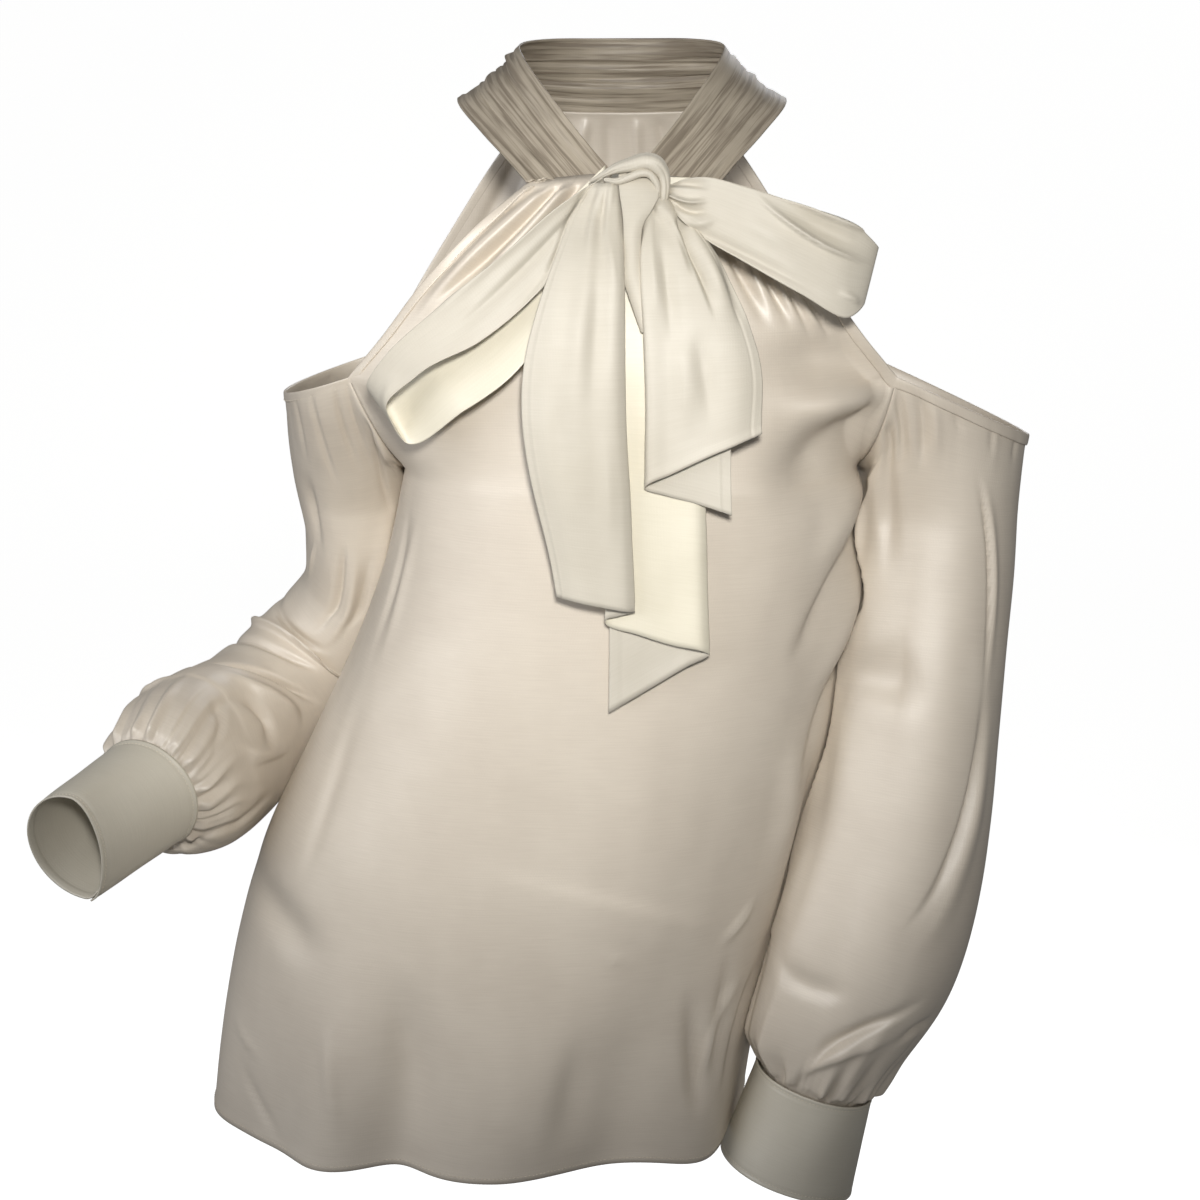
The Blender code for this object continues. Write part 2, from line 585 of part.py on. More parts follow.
cloth("left_binding", binding_grid(LEFT, front, back, left_sleeve), BAND, "silk", flip=True, out=True)
cloth("right_loop", loop_grid(RIGHT_LOOP), CLOTH, "tie_silk")
cloth("left_loop", loop_grid(LEFT_LOOP), CLOTH, "tie_silk")
cloth("right_tail", tail_grid(RIGHT_TAIL), CLOTH, "tie_silk")
cloth("left_tail", tail_grid(LEFT_TAIL), CLOTH, "tie_silk")
knot()
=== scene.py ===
"""The looks of a worn silk blouse: halter neckband, tied bow, open shoulders, full sleeves and deep cuffs.

Metres, +Z up, the front faces -Y, +X is the wearer's left. Each cut piece is a thin shell on the form of
its solid, with its folds and creases placed one by one. Right and left in names are the wearer's.
"""

import math
import random

import bpy
import numpy as np
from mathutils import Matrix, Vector, noise


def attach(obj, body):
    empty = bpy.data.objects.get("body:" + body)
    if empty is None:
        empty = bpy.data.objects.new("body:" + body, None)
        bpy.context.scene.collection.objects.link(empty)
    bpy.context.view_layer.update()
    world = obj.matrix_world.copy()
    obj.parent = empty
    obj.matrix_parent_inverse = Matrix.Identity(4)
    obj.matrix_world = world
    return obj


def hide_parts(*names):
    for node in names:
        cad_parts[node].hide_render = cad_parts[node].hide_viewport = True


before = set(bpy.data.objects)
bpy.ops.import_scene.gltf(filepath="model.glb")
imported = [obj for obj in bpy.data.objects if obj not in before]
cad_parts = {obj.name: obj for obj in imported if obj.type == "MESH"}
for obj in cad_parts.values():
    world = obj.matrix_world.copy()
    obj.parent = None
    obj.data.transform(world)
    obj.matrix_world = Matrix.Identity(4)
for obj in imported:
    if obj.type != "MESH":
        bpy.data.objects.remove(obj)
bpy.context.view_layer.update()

MM = 0.001

# Driving sizes, the same as the solids'.
HEM_Z = -0.657
UNDERARM_Z = -0.245
ARMHOLE_MIDDLE_Z = -0.190
NECK_SEAM_Z = -0.0780
NECKBAND_ROUND = 0.0025  # how far the neckband's middle stands out from its edges
UNDERARM_TURN, ARMHOLE_TURN, NECK_TURN = 90, 58, 25  # degrees that half a panel wraps at those levels
FLUTE_FADE = 8  # flutes fade over an eighth of the panel's half-width at its sides
OPEN_TURN = 120  # degrees each way from the outside of the arm that the shoulder stays open
TOP_BLEND = 0.16  # share of the sleeve over which its top line turns into a ring
TOP_DROP, UNDERARM_FLARE = 0.030, 0.010  # how far it goes down over that share, and out from the body
SLEEVE_END = 0.0020  # share of the sleeve kept back from the cuff's end
CUFF_LAP, LAP_RISE = 22, 60  # degrees lapped, and degrees of the rise on to the lap

# Sizes of the looks alone.
SLEEVE_LEDGE = 0.0001  # from the armhole seam to the sleeve
CLOSER = 0.35  # how much closer a sleeve's rows lie at the cuff
LAP_LIFT = 0.0020  # height of a cuff's lap
TAIL_KNOT_Z, TAIL_TOP_Z, TAIL_FAN_Z, TAIL_SPREAD_Z = -0.0780, -0.0925, -0.1120, -0.1600
TAIL_SUNK = 0.0040  # from a tail's face back to its end in the knot
TAIL_FAN = 0.55  # share of its way forward that a tail has come where it fans out
TONGUE_ROUND = 0.0022  # how far the tongue's edges turn back from its middle

# Rows and columns of the grids. A panel's rows are those of its side seam, its armhole and its shoulder.
FRONT_COLUMNS, FRONT_ROWS = 180, (120, 24, 58)
BACK_COLUMNS, BACK_ROWS = 130, (100, 20, 54)
SLEEVE_COLUMNS, SLEEVE_ROWS = 216, 190
CUFF_COLUMNS, CUFF_ROWS = 160, 44
NECKBAND_COLUMNS, NECKBAND_ROWS = 280, 40
LOOP_COLUMNS, LOOP_ROWS = 180, 44
TAIL_COLUMNS, TAIL_ROWS = 190, 76
TONGUE_COLUMNS, TONGUE_ROWS = 28, 80
KNOT_RINGS, KNOT_SIDES = 91, 64

# Sizes of the cloth itself.
SILK = 0.00045  # thickness of one layer, with the body that its folds give it
DOUBLE = 0.0010  # folded neckband and cuffs
HEM_WIDTH, HEM_HEIGHT, TIE_HEM_HEIGHT = 0.0050, 0.0005, 0.0003
BINDING_WIDTH, BINDING_HEIGHT = 0.0065, 0.0009
CUFF_STITCHED = 0.0030  # from a cuff's edges to their topstitching
NECKBAND_PLEATS = 58
STITCH, STITCH_LONG = 0.0024, 0.0016  # from one stitch to the next, and the length of one
SLEEVE_ROUND = 0.9  # millimetres of sleeve to a degree, for its folds
BESIDE, BESIDE_MOST = 0.0016, 0.012  # from the body to the sleeve beside it, and the most that it is moved
YARN = 0.0008  # the width at which the yarns of the weave are drawn
# Unevenness of hanging silk, broad and fine: its length and its height.
BODY_RIPPLES = ((0.055, 0.0011), (0.018, 0.00035))
SLEEVE_RIPPLES = ((0.060, 0.0012), (0.017, 0.0004))
CUFF_RIPPLES = ((0.030, 0.0009),)
TIE_RIPPLES = ((0.022, 0.0007),)

RIGHT, LEFT = -1, 1
FRONT, BACK = -1, 1
OUTER_TOP = {LEFT: (0.2450, -0.0050, -0.2270), RIGHT: (0.2040, 0.0150, -0.2020)}  # outermost on the top line


def table(columns, *rows):
    """Rows of numbers as a dict of named columns."""
    return dict(zip(columns.split(), np.array(rows, float).T))


# --- form: the section tables of the solids ---------------------------------------------------------------

# The worn body, level by level: the sides, the middle of the front and of the back, and the shape of each
# half's section: 1 is an ellipse, less is squarer, more is flatter towards the arms.
BODY = table(
    "z       right    left    front    back    front_shape back_shape",
    (-0.672, -0.2650, 0.0800, -0.1240, 0.1210, 1.00, 1.00),
    (-0.600, -0.2560, 0.0900, -0.1250, 0.1170, 0.98, 1.00),
    (-0.540, -0.2430, 0.1030, -0.1260, 0.1130, 0.94, 1.02),
    (-0.480, -0.2240, 0.1180, -0.1275, 0.1090, 0.90, 1.06),
    (-0.420, -0.1950, 0.1290, -0.1290, 0.1050, 0.86, 1.14),
    (-0.360, -0.1660, 0.1370, -0.1305, 0.1010, 0.82, 1.24),
    (-0.300, -0.1430, 0.1420, -0.1310, 0.0980, 0.79, 1.24),
    (-0.245, -0.1300, 0.1420, -0.1300, 0.0960, 0.77, 1.15),
)
# The middle of the front above the underarm, then of the back.
FRONT_MIDDLE = table(
    "z       y",
    (-0.245, -0.1300),
    (-0.190, -0.1240),
    (-0.140, -0.1110),
    (-0.105, -0.0990),
    (-0.078, -0.0900),
)
BACK_MIDDLE = table(
    "z       y",
    (-0.245, 0.0960),
    (-0.190, 0.0980),
    (-0.130, 0.0950),
    (-0.080, 0.0870),
    (-0.0395, 0.0775),
)
# The open shoulder edges, from the top of the armhole seam to the neckband.
FRONT_EDGE = table(
    "x       y        z",
    (0.1550, -0.0760, -0.1860),
    (0.1340, -0.0860, -0.1620),
    (0.1120, -0.0900, -0.1340),
    (0.0800, -0.0880, -0.1010),
    (0.0530, -0.0835, -0.0795),
)
BACK_EDGE = table(
    "x       y       z",
    (0.1530, 0.0800, -0.1860),
    (0.1330, 0.0850, -0.1500),
    (0.1050, 0.0840, -0.1050),
    (0.0760, 0.0780, -0.0620),
    (0.0560, 0.0715, -0.0375),
)
# Flutes of the hem: place across the panel, how far out and down, half-width, and height where each starts.
FRONT_FLUTES = table(
    "place  out      down     width start",
    (-0.78, 0.0040, 0.0000, 0.11, -0.56),
    (-0.34, 0.0090, 0.0010, 0.10, -0.50),
    (-0.17, -0.0090, -0.0020, 0.08, -0.52),
    (0.06, 0.0080, 0.0000, 0.13, -0.53),
    (0.31, -0.0060, 0.0020, 0.09, -0.50),
    (0.57, 0.0100, 0.0110, 0.14, -0.44),
    (0.82, -0.0030, 0.0060, 0.10, -0.55),
)
BACK_FLUTES = table(
    "place  out      down     width start",
    (-0.70, 0.0070, 0.0020, 0.11, -0.52),
    (-0.45, -0.0050, 0.0000, 0.09, -0.54),
    (-0.12, 0.0090, 0.0010, 0.13, -0.47),
    (0.18, -0.0060, 0.0000, 0.09, -0.55),
    (0.47, 0.0090, 0.0020, 0.12, -0.50),
    (0.76, -0.0040, 0.0010, 0.09, -0.56),
)
# Half of the neckband, from its front end to the nape: its neck edge, then its shoulder edge.
NECKBAND = table(
    "x_in    y_in     z_in     x_out   y_out    z_out",
    (0.0025, -0.0880, -0.0765, 0.0535, -0.0830, -0.0782),
    (0.0190, -0.0740, -0.0580, 0.0640, -0.0680, -0.0670),
    (0.0390, -0.0500, -0.0330, 0.0800, -0.0450, -0.0510),
    (0.0570, -0.0140, -0.0080, 0.0950, -0.0120, -0.0340),
    (0.0580, 0.0210, 0.0010, 0.0920, 0.0340, -0.0300),
    (0.0400, 0.0480, 0.0050, 0.0640, 0.0680, -0.0345),
    (0.0150, 0.0600, 0.0060, 0.0220, 0.0765, -0.0380),
)
# Sleeve middles from the open top to the cuff seam, x outwards, with each ring's half-width and half-depth.
LEFT_SLEEVE = table(
    "x       y        z        wide    deep",
    (0.1950, -0.0020, -0.2150, 0.0480, 0.0560),
    (0.1940, -0.0060, -0.2600, 0.0475, 0.0560),
    (0.1920, -0.0120, -0.3100, 0.0475, 0.0560),
    (0.1875, -0.0200, -0.3600, 0.0480, 0.0560),
    (0.1815, -0.0280, -0.4100, 0.0500, 0.0570),
    (0.1740, -0.0360, -0.4600, 0.0530, 0.0580),
    (0.1640, -0.0430, -0.5100, 0.0555, 0.0590),
    (0.1505, -0.0480, -0.5550, 0.0545, 0.0570),
    (0.1320, -0.0510, -0.5970, 0.0455, 0.0480),
    (0.1220, -0.0520, -0.6290, 0.0375, 0.0345),
)
RIGHT_SLEEVE = table(
    "x       y        z        wide    deep",
    (0.1640, 0.0220, -0.2050, 0.0430, 0.0600),
    (0.1660, 0.0450, -0.2500, 0.0410, 0.0560),
    (0.1660, 0.0620, -0.3000, 0.0370, 0.0520),
    (0.1740, 0.0770, -0.3460, 0.0370, 0.0490),
    (0.2040, 0.0800, -0.3900, 0.0440, 0.0470),
    (0.2360, 0.0470, -0.4200, 0.0440, 0.0520),
    (0.2540, 0.0060, -0.4310, 0.0430, 0.0580),
    (0.2660, -0.0320, -0.4290, 0.0425, 0.0560),
    (0.2720, -0.0580, -0.4250, 0.0390, 0.0480),
    (0.2800, -0.0790, -0.4300, 0.0330, 0.0345),
)
# Cuffs: the far end's middle and half-sizes, the share of its half-width kept towards the body, where the
# hand presses it, and the angle round the wrist where its ends lap.
LEFT_CUFF = {"end": (0.1060, -0.0550, -0.6900), "wide": 0.0435, "deep": 0.0385, "kept": 1, "lap_at": 215}
RIGHT_CUFF = {"end": (0.3110, -0.1270, -0.4490), "wide": 0.0330, "deep": 0.0350, "kept": 0.5, "lap_at": 233}
# Loops of the bow: the strip's upper and lower edge, out from the knot in front and back to it behind.
RIGHT_LOOP = table(
    "x_up     y_up     z_up     x_low    y_low    z_low",
    (-0.0100, -0.1225, -0.0740, -0.0100, -0.1225, -0.0840),
    (-0.0350, -0.1310, -0.0900, -0.0250, -0.1310, -0.1080),
    (-0.0630, -0.1380, -0.1140, -0.0450, -0.1395, -0.1340),
    (-0.0980, -0.1420, -0.1420, -0.0770, -0.1480, -0.1600),
    (-0.1270, -0.1390, -0.1680, -0.1090, -0.1470, -0.1770),
    (-0.1380, -0.1290, -0.1850, -0.1260, -0.1370, -0.1960),
    (-0.1340, -0.1170, -0.1930, -0.1200, -0.1220, -0.2150),
    (-0.1090, -0.1170, -0.1640, -0.0850, -0.1420, -0.1960),
    (-0.0660, -0.1170, -0.1230, -0.0480, -0.1410, -0.1640),
    (-0.0300, -0.1120, -0.0880, -0.0250, -0.1200, -0.1150),
    (-0.0100, -0.1080, -0.0690, -0.0100, -0.1080, -0.0860),
)
LEFT_LOOP = table(
    "x_up    y_up     z_up     x_low   y_low    z_low",
    (0.0215, -0.1230, -0.0790, 0.0215, -0.1230, -0.0850),
    (0.0290, -0.1300, -0.0765, 0.0280, -0.1310, -0.0950),
    (0.0420, -0.1340, -0.0750, 0.0400, -0.1355, -0.1050),
    (0.0620, -0.1360, -0.0795, 0.0640, -0.1390, -0.1190),
    (0.0950, -0.1360, -0.0900, 0.0930, -0.1400, -0.1350),
    (0.1210, -0.1310, -0.0990, 0.1180, -0.1330, -0.1480),
    (0.1360, -0.1200, -0.1120, 0.1290, -0.1210, -0.1400),
    (0.1230, -0.1090, -0.1030, 0.1170, -0.1110, -0.1420),
    (0.0930, -0.1080, -0.0920, 0.0920, -0.1110, -0.1310),
    (0.0600, -0.1080, -0.0820, 0.0620, -0.1100, -0.1160),
    (0.0400, -0.1080, -0.0760, 0.0380, -0.1090, -0.1030),
    (0.0215, -0.1080, -0.0750, 0.0215, -0.1080, -0.0860),
)
# Tails of the bow across their width: x and y under the knot, where they spread and at the hem, and its z.
RIGHT_TAIL = table(
    "x_knot   x_top    y_top    x_fan    x_spread y_spread x_hem    y_hem    z_hem",
    (-0.0178, -0.0268, -0.1280, -0.0348, -0.0505, -0.1500, -0.0365, -0.1510, -0.2960),
    (-0.0145, -0.0205, -0.1305, -0.0265, -0.0375, -0.1545, -0.0260, -0.1550, -0.2980),
    (-0.0095, -0.0125, -0.1320, -0.0155, -0.0180, -0.1550, -0.0120, -0.1550, -0.3010),
    (-0.0040, -0.0030, -0.1305, -0.0020, -0.0030, -0.1525, 0.0030, -0.1530, -0.3040),
    (-0.0028, -0.0012, -0.1270, -0.0002, 0.0000, -0.1480, 0.0062, -0.1490, -0.3050),
    (-0.0050, -0.0040, -0.1240, -0.0050, -0.0060, -0.1440, -0.0030, -0.1460, -0.3080),
    (-0.0080, -0.0070, -0.1225, -0.0095, -0.0120, -0.1430, -0.0100, -0.1440, -0.3110),
    (-0.0080, -0.0070, -0.1205, -0.0090, -0.0110, -0.1415, -0.0095, -0.1425, -0.3130),
    (-0.0030, -0.0020, -0.1200, -0.0005, 0.0000, -0.1410, 0.0080, -0.1430, -0.3190),
    (0.0040, 0.0060, -0.1200, 0.0115, 0.0180, -0.1410, 0.0270, -0.1430, -0.3250),
    (0.0090, 0.0110, -0.1195, 0.0215, 0.0330, -0.1405, 0.0445, -0.1425, -0.3290),
    (0.0100, 0.0120, -0.1180, 0.0230, 0.0350, -0.1385, 0.0470, -0.1395, -0.3310),
    (0.0070, 0.0080, -0.1170, 0.0165, 0.0250, -0.1375, 0.0340, -0.1380, -0.3390),
    (0.0020, 0.0020, -0.1165, 0.0050, 0.0080, -0.1370, 0.0150, -0.1375, -0.3510),
    (-0.0030, -0.0040, -0.1165, -0.0050, -0.0060, -0.1370, -0.0080, -0.1375, -0.3650),
)
LEFT_TAIL = table(
    "x_knot   x_top    y_top    x_fan    x_spread y_spread x_hem    y_hem    z_hem",
    (0.0200, 0.0280, -0.1250, 0.0460, 0.0690, -0.1420, 0.0730, -0.1470, -0.2080),
    (0.0185, 0.0250, -0.1280, 0.0380, 0.0580, -0.1480, 0.0600, -0.1530, -0.2130),
    (0.0170, 0.0210, -0.1295, 0.0280, 0.0400, -0.1500, 0.0430, -0.1550, -0.2200),
    (0.0155, 0.0160, -0.1290, 0.0165, 0.0220, -0.1500, 0.0240, -0.1550, -0.2290),
    (0.0140, 0.0115, -0.1280, 0.0085, 0.0110, -0.1490, 0.0120, -0.1530, -0.2350),
    (0.0140, 0.0115, -0.1262, 0.0082, 0.0105, -0.1465, 0.0112, -0.1500, -0.2370),
    (0.0150, 0.0145, -0.1250, 0.0160, 0.0200, -0.1450, 0.0220, -0.1480, -0.2410),
    (0.0160, 0.0185, -0.1245, 0.0265, 0.0360, -0.1445, 0.0400, -0.1475, -0.2460),
    (0.0170, 0.0215, -0.1240, 0.0340, 0.0520, -0.1440, 0.0580, -0.1475, -0.2520),
)
# The first turn of the tie, which comes out under the knot and goes in between the tails.
TONGUE = table(
    "left     right   y        z",
    (-0.0030, 0.0165, -0.1250, -0.0720),
    (-0.0028, 0.0176, -0.1305, -0.0790),
    (-0.0022, 0.0178, -0.1335, -0.0850),
    (-0.0012, 0.0145, -0.1360, -0.0915),
    (-0.0003, 0.0092, -0.1385, -0.1010),
    (-0.0006, 0.0085, -0.1420, -0.1170),
    (-0.0012, 0.0100, -0.1440, -0.1250),
    (0.0020, 0.0120, -0.1450, -0.1350),
    (0.0055, 0.0135, -0.1455, -0.1450),
    (0.0090, 0.0140, -0.1458, -0.1550),
)
# The roll of the knot, the fold below it, and the core behind them, which reaches back to the neck seam: the
# places along each, with its half-width.
KNOT_ROLL = table(
    "x        y        z        half",
    (-0.0180, -0.1200, -0.0775, 0.0008),
    (-0.0103, -0.1240, -0.0734, 0.0018),
    (-0.0035, -0.1260, -0.0705, 0.0030),
    (0.0040, -0.1275, -0.0688, 0.0042),
    (0.0110, -0.1280, -0.0673, 0.0048),
    (0.0162, -0.1275, -0.0688, 0.0050),
    (0.0198, -0.1265, -0.0735, 0.0042),
    (0.0209, -0.1265, -0.0795, 0.0034),
    (0.0203, -0.1260, -0.0860, 0.0028),
    (0.0180, -0.1250, -0.0915, 0.0018),
)
KNOT_FOLD = table(
    "x        y        z        half",
    (-0.0100, -0.1250, -0.0765, 0.0012),
    (-0.0035, -0.1290, -0.0772, 0.0018),
    (0.0025, -0.1305, -0.0752, 0.0021),
    (0.0085, -0.1315, -0.0730, 0.0022),
    (0.0135, -0.1310, -0.0738, 0.0021),
    (0.0172, -0.1300, -0.0790, 0.0018),
    (0.0180, -0.1280, -0.0850, 0.0012),
)
KNOT_CORE = table(
    "x        y        z        half",
    (-0.0110, -0.0990, -0.0800, 0.0004),
    (-0.0040, -0.1000, -0.0790, 0.0056),
    (0.0060, -0.1010, -0.0780, 0.0078),
    (0.0150, -0.1000, -0.0790, 0.0066),
    (0.0240, -0.0990, -0.0815, 0.0004),
)


# --- creases, in millimetres ------------------------------------------------------------------------------
# Each runs on a curve through three points, seen from the front or back: its half-width, the share of that
# on its steep side, and its height, negative for a trough. Open 1 starts at full height, as at a seam; 0
# fades in.
CREASE = "x0 z0 x1 z1 x2 z2 wide steep high open"
CREASE_STEPS = 15  # points along the line of a crease
CREASE_REACH = 3  # half-widths from its line to where a crease ends
CREASE_FADE = 2.2  # a crease fades over its length divided by this

FRONT_CREASES = table(
    CREASE,
    # gathers of the wearer's right, out from the neckband along the shoulder edge
    (-50, -82, -92, -110, -136, -166, 7.0, 0.8, 3.6, 1),
    (-46, -82, -84, -109, -126, -154, 4.6, 0.8, -5.4, 1),
    (-41, -82, -80, -114, -122, -164, 6.0, 0.7, 4.4, 1),
    (-37, -82, -70, -113, -107, -147, 3.2, 0.6, -6.5, 1),
    (-31, -82, -63, -116, -99, -153, 5.0, 0.6, 6.5, 1),
    (-26, -82, -54, -115, -86, -148, 2.8, 0.6, -5.7, 1),
    (-20, -82, -44, -118, -72, -152, 5.0, 0.7, 5.3, 1),
    (-13, -82, -30, -116, -50, -146, 3.2, 0.6, -4.9, 1),
    # gathers of the wearer's left, fanning out from the knot
    (38, -84, 58, -116, 79, -158, 4.0, 0.6, -4.2, 1),
    (43, -84, 65, -118, 87, -160, 5.2, 0.6, 4.2, 1),
    (46, -83, 71, -118, 93, -159, 3.2, 0.6, -4.2, 1),
    (48, -82, 77, -121, 101, -163, 4.6, 0.6, 4.2, 1),
    (50, -82, 82, -124, 108, -166, 3.0, 0.6, -4.2, 1),
    (51, -82, 88, -129, 114, -166, 4.0, 0.7, 3.3, 1),
    (52, -82, 95, -134, 121, -166, 2.6, 0.7, -3.3, 1),
    # tension from the top of the left armhole over the bust
    (152, -186, 116, -172, 62, -180, 15.0, 0.9, -10.0, 1),
    (155, -198, 122, -199, 84, -204, 10.0, 0.9, 7.0, 1),
    (154, -214, 120, -226, 72, -250, 21.0, 0.9, -16.0, 1),
    (148, -232, 130, -262, 108, -300, 12.0, 0.7, 5.5, 0),
    # and from the right one
    (-152, -196, -128, -214, -98, -224, 11.0, 0.8, -3.9, 1),
    (-153, -190, -136, -190, -118, -196, 7.0, 1.0, 1.9, 1),
    # drag folds down from the left underarm
    (150, -250, 122, -304, 92, -352, 9.0, 0.6, -8.1, 0),
    (152, -282, 130, -330, 106, -378, 9.0, 0.7, 6.5, 0),
    (148, -318, 124, -372, 101, -442, 7.0, 0.7, -6.1, 0),
    (101, -378, 98, -440, 88, -506, 8.0, 0.8, 4.9, 0),
    (121, -396, 110, -470, 96, -545, 7.0, 0.7, -5.3, 0),
    (110, -480, 98, -548, 84, -620, 6.0, 0.8, 4.5, 0),
    # creases low on the left
    (82, -492, 70, -510, 56, -522, 3.0, 0.5, 2.6, 0),
    (76, -545, 58, -575, 46, -634, 3.4, 0.5, 3.0, 0),
    (86, -538, 72, -584, 62, -640, 3.4, 0.6, -3.5, 0),
    (40, -540, 44, -596, 49, -640, 6.5, 0.7, -6.2, 0),
    (66, -520, 60, -572, 57, -628, 4.5, 0.7, -3.5, 0),
    # the fine crease across the belly, from a fold in storage
    (62, -516, 2, -488, -112, -458, 24.0, 0.24, 2.1, 0),
    (-16, -514, -4, -520, 10, -524, 2.0, 0.5, 1.0, 0),
    # broad falls above the hem
    (-224, -484, -206, -514, -168, -518, 15.0, 0.8, -6.8, 0),
    (-243, -586, -232, -598, -219, -604, 2.4, 0.6, 1.8, 0),
    (-240, -606, -222, -636, -206, -652, 4.0, 0.6, -2.4, 0),
    (-176, -560, -174, -600, -170, -640, 5.0, 0.8, 2.5, 0),
    (-134, -520, -126, -580, -122, -640, 12.0, 0.9, -4.5, 0),
    (-20, -560, -30, -610, -36, -655, 12.0, 0.8, -3.3, 0),
    # the side of the right, where the cloth doubles back beside the seam
    (-122, -256, -131, -300, -150, -362, 2.4, 0.6, -2.2, 0),
    (-117, -262, -126, -302, -143, -358, 2.6, 0.6, 1.5, 0),
    (-150, -362, -172, -430, -196, -500, 5.0, 0.7, -2.0, 0),
)
BACK_CREASES = table(
    CREASE,
    (-52, -44, -78, -90, -104, -140, 6.0, 0.7, 2.4, 1),
    (-44, -42, -62, -86, -84, -130, 4.0, 0.6, -2.6, 1),
    (-34, -42, -48, -84, -62, -124, 5.0, 0.7, 2.4, 1),
    (-22, -42, -30, -80, -40, -112, 3.6, 0.6, -2.0, 1),
    (-8, -42, -8, -80, -14, -118, 5.0, 0.8, 1.8, 1),
    (10, -42, 12, -78, 20, -108, 3.6, 0.6, -2.0, 1),
    (24, -42, 34, -82, 46, -120, 5.0, 0.7, 2.4, 1),
    (38, -42, 54, -86, 74, -130, 4.0, 0.6, -2.4, 1),
    (50, -44, 76, -92, 102, -142, 5.5, 0.7, 2.6, 1),
    (-150, -196, -120, -226, -92, -270, 13.0, 0.8, -2.6, 1),
    (152, -190, 128, -188, 104, -176, 10.0, 0.8, -2.0, 1),
    (-132, -262, -120, -330, -132, -410, 9.0, 0.7, 2.8, 0),
    (-100, -300, -104, -380, -128, -470, 8.0, 0.7, -2.6, 0),
    (136, -258, 118, -320, 96, -372, 9.0, 0.7, -3.2, 0),
    (120, -350, 104, -430, 88, -520, 9.0, 0.8, 2.8, 0),
    (84, -400, 70, -480, 62, -570, 8.0, 0.7, -2.2, 0),
    (10, -300, -4, -400, -22, -520, 12.0, 0.9, 1.8, 0),
    (-60, -330, -70, -430, -90, -540, 10.0, 0.8, -1.8, 0),
)
# Folds of the sleeves: degrees round the arm in place of x, hundredths of the way down in place of z.
LEFT_SLEEVE_CREASES = table(
    CREASE,
    # the roll of cloth beside the armhole seam, and the trough along it
    (152, 1, 151, 14, 154, 30, 7.0, 0.8, 3.2, 1),
    (138, 1, 131, 12, 128, 26, 4.0, 0.7, -3.8, 1),
    # short tucks under the binding
    (126, 0, 124, 5, 128, 10, 2.6, 0.7, -2.2, 1),
    (119, 0, 118, 5, 120, 10, 3.4, 0.7, 1.8, 1),
    (111, 0, 111, 5, 115, 9, 2.4, 0.6, -2.8, 1),
    (103, 0, 103, 4, 104, 8, 3.0, 0.7, 1.6, 1),
    (91, 0, 90, 2, 85, 4, 1.8, 0.7, -1.6, 1),
    (66, 0, 67, 3, 66, 6, 2.2, 0.7, -1.0, 1),
    (44, 0, 44, 3, 46, 6, 2.6, 0.7, -1.0, 1),
    # the long thin crease down the front, and the fold that it turns into
    (80, 8, 62, 20, 53, 41, 1.6, 0.6, -3.4, 0),
    (76, 8, 58, 20, 48, 41, 3.6, 0.7, 2.4, 0),
    (55, 36, 59, 56, 90, 73, 4.0, 0.45, -4.4, 0),
    (48, 36, 51, 58, 80, 77, 7.5, 0.7, 3.2, 0),
    # the soft hollow at the elbow
    (150, 34, 126, 38, 98, 37, 17.0, 0.8, -5.0, 0),
    (146, 8, 143, 16, 146, 27, 6.0, 0.8, -2.6, 0),
    (160, 40, 146, 60, 150, 82, 11.0, 0.8, -3.2, 0),
    # the deep folds where the fullness drops over the cuff
    (118, 98, 92, 88, 50, 79, 5.0, 0.4, -5.6, 0),
    (124, 99, 98, 92, 52, 84, 6.5, 0.6, 4.2, 0),
    (150, 78, 128, 84, 104, 80, 9.0, 0.7, -3.8, 0),
    (60, 88, 44, 84, 20, 84, 5.0, 0.5, -3.4, 0),
    (168, 80, 166, 90, 160, 99, 4.0, 0.6, -3.0, 1),
    # the back
    (-120, 2, -124, 16, -132, 32, 6.0, 0.7, -2.8, 1),
    (-70, 4, -62, 24, -44, 44, 5.0, 0.6, -2.6, 0),
    (-96, 20, -88, 40, -104, 60, 8.0, 0.8, 2.8, 0),
    (-30, 40, -54, 56, -96, 64, 6.0, 0.5, -4.0, 0),
    (-50, 70, -84, 82, -140, 84, 6.0, 0.5, -4.4, 0),
    (-120, 66, -112, 82, -92, 96, 7.0, 0.7, 3.0, 0),
)
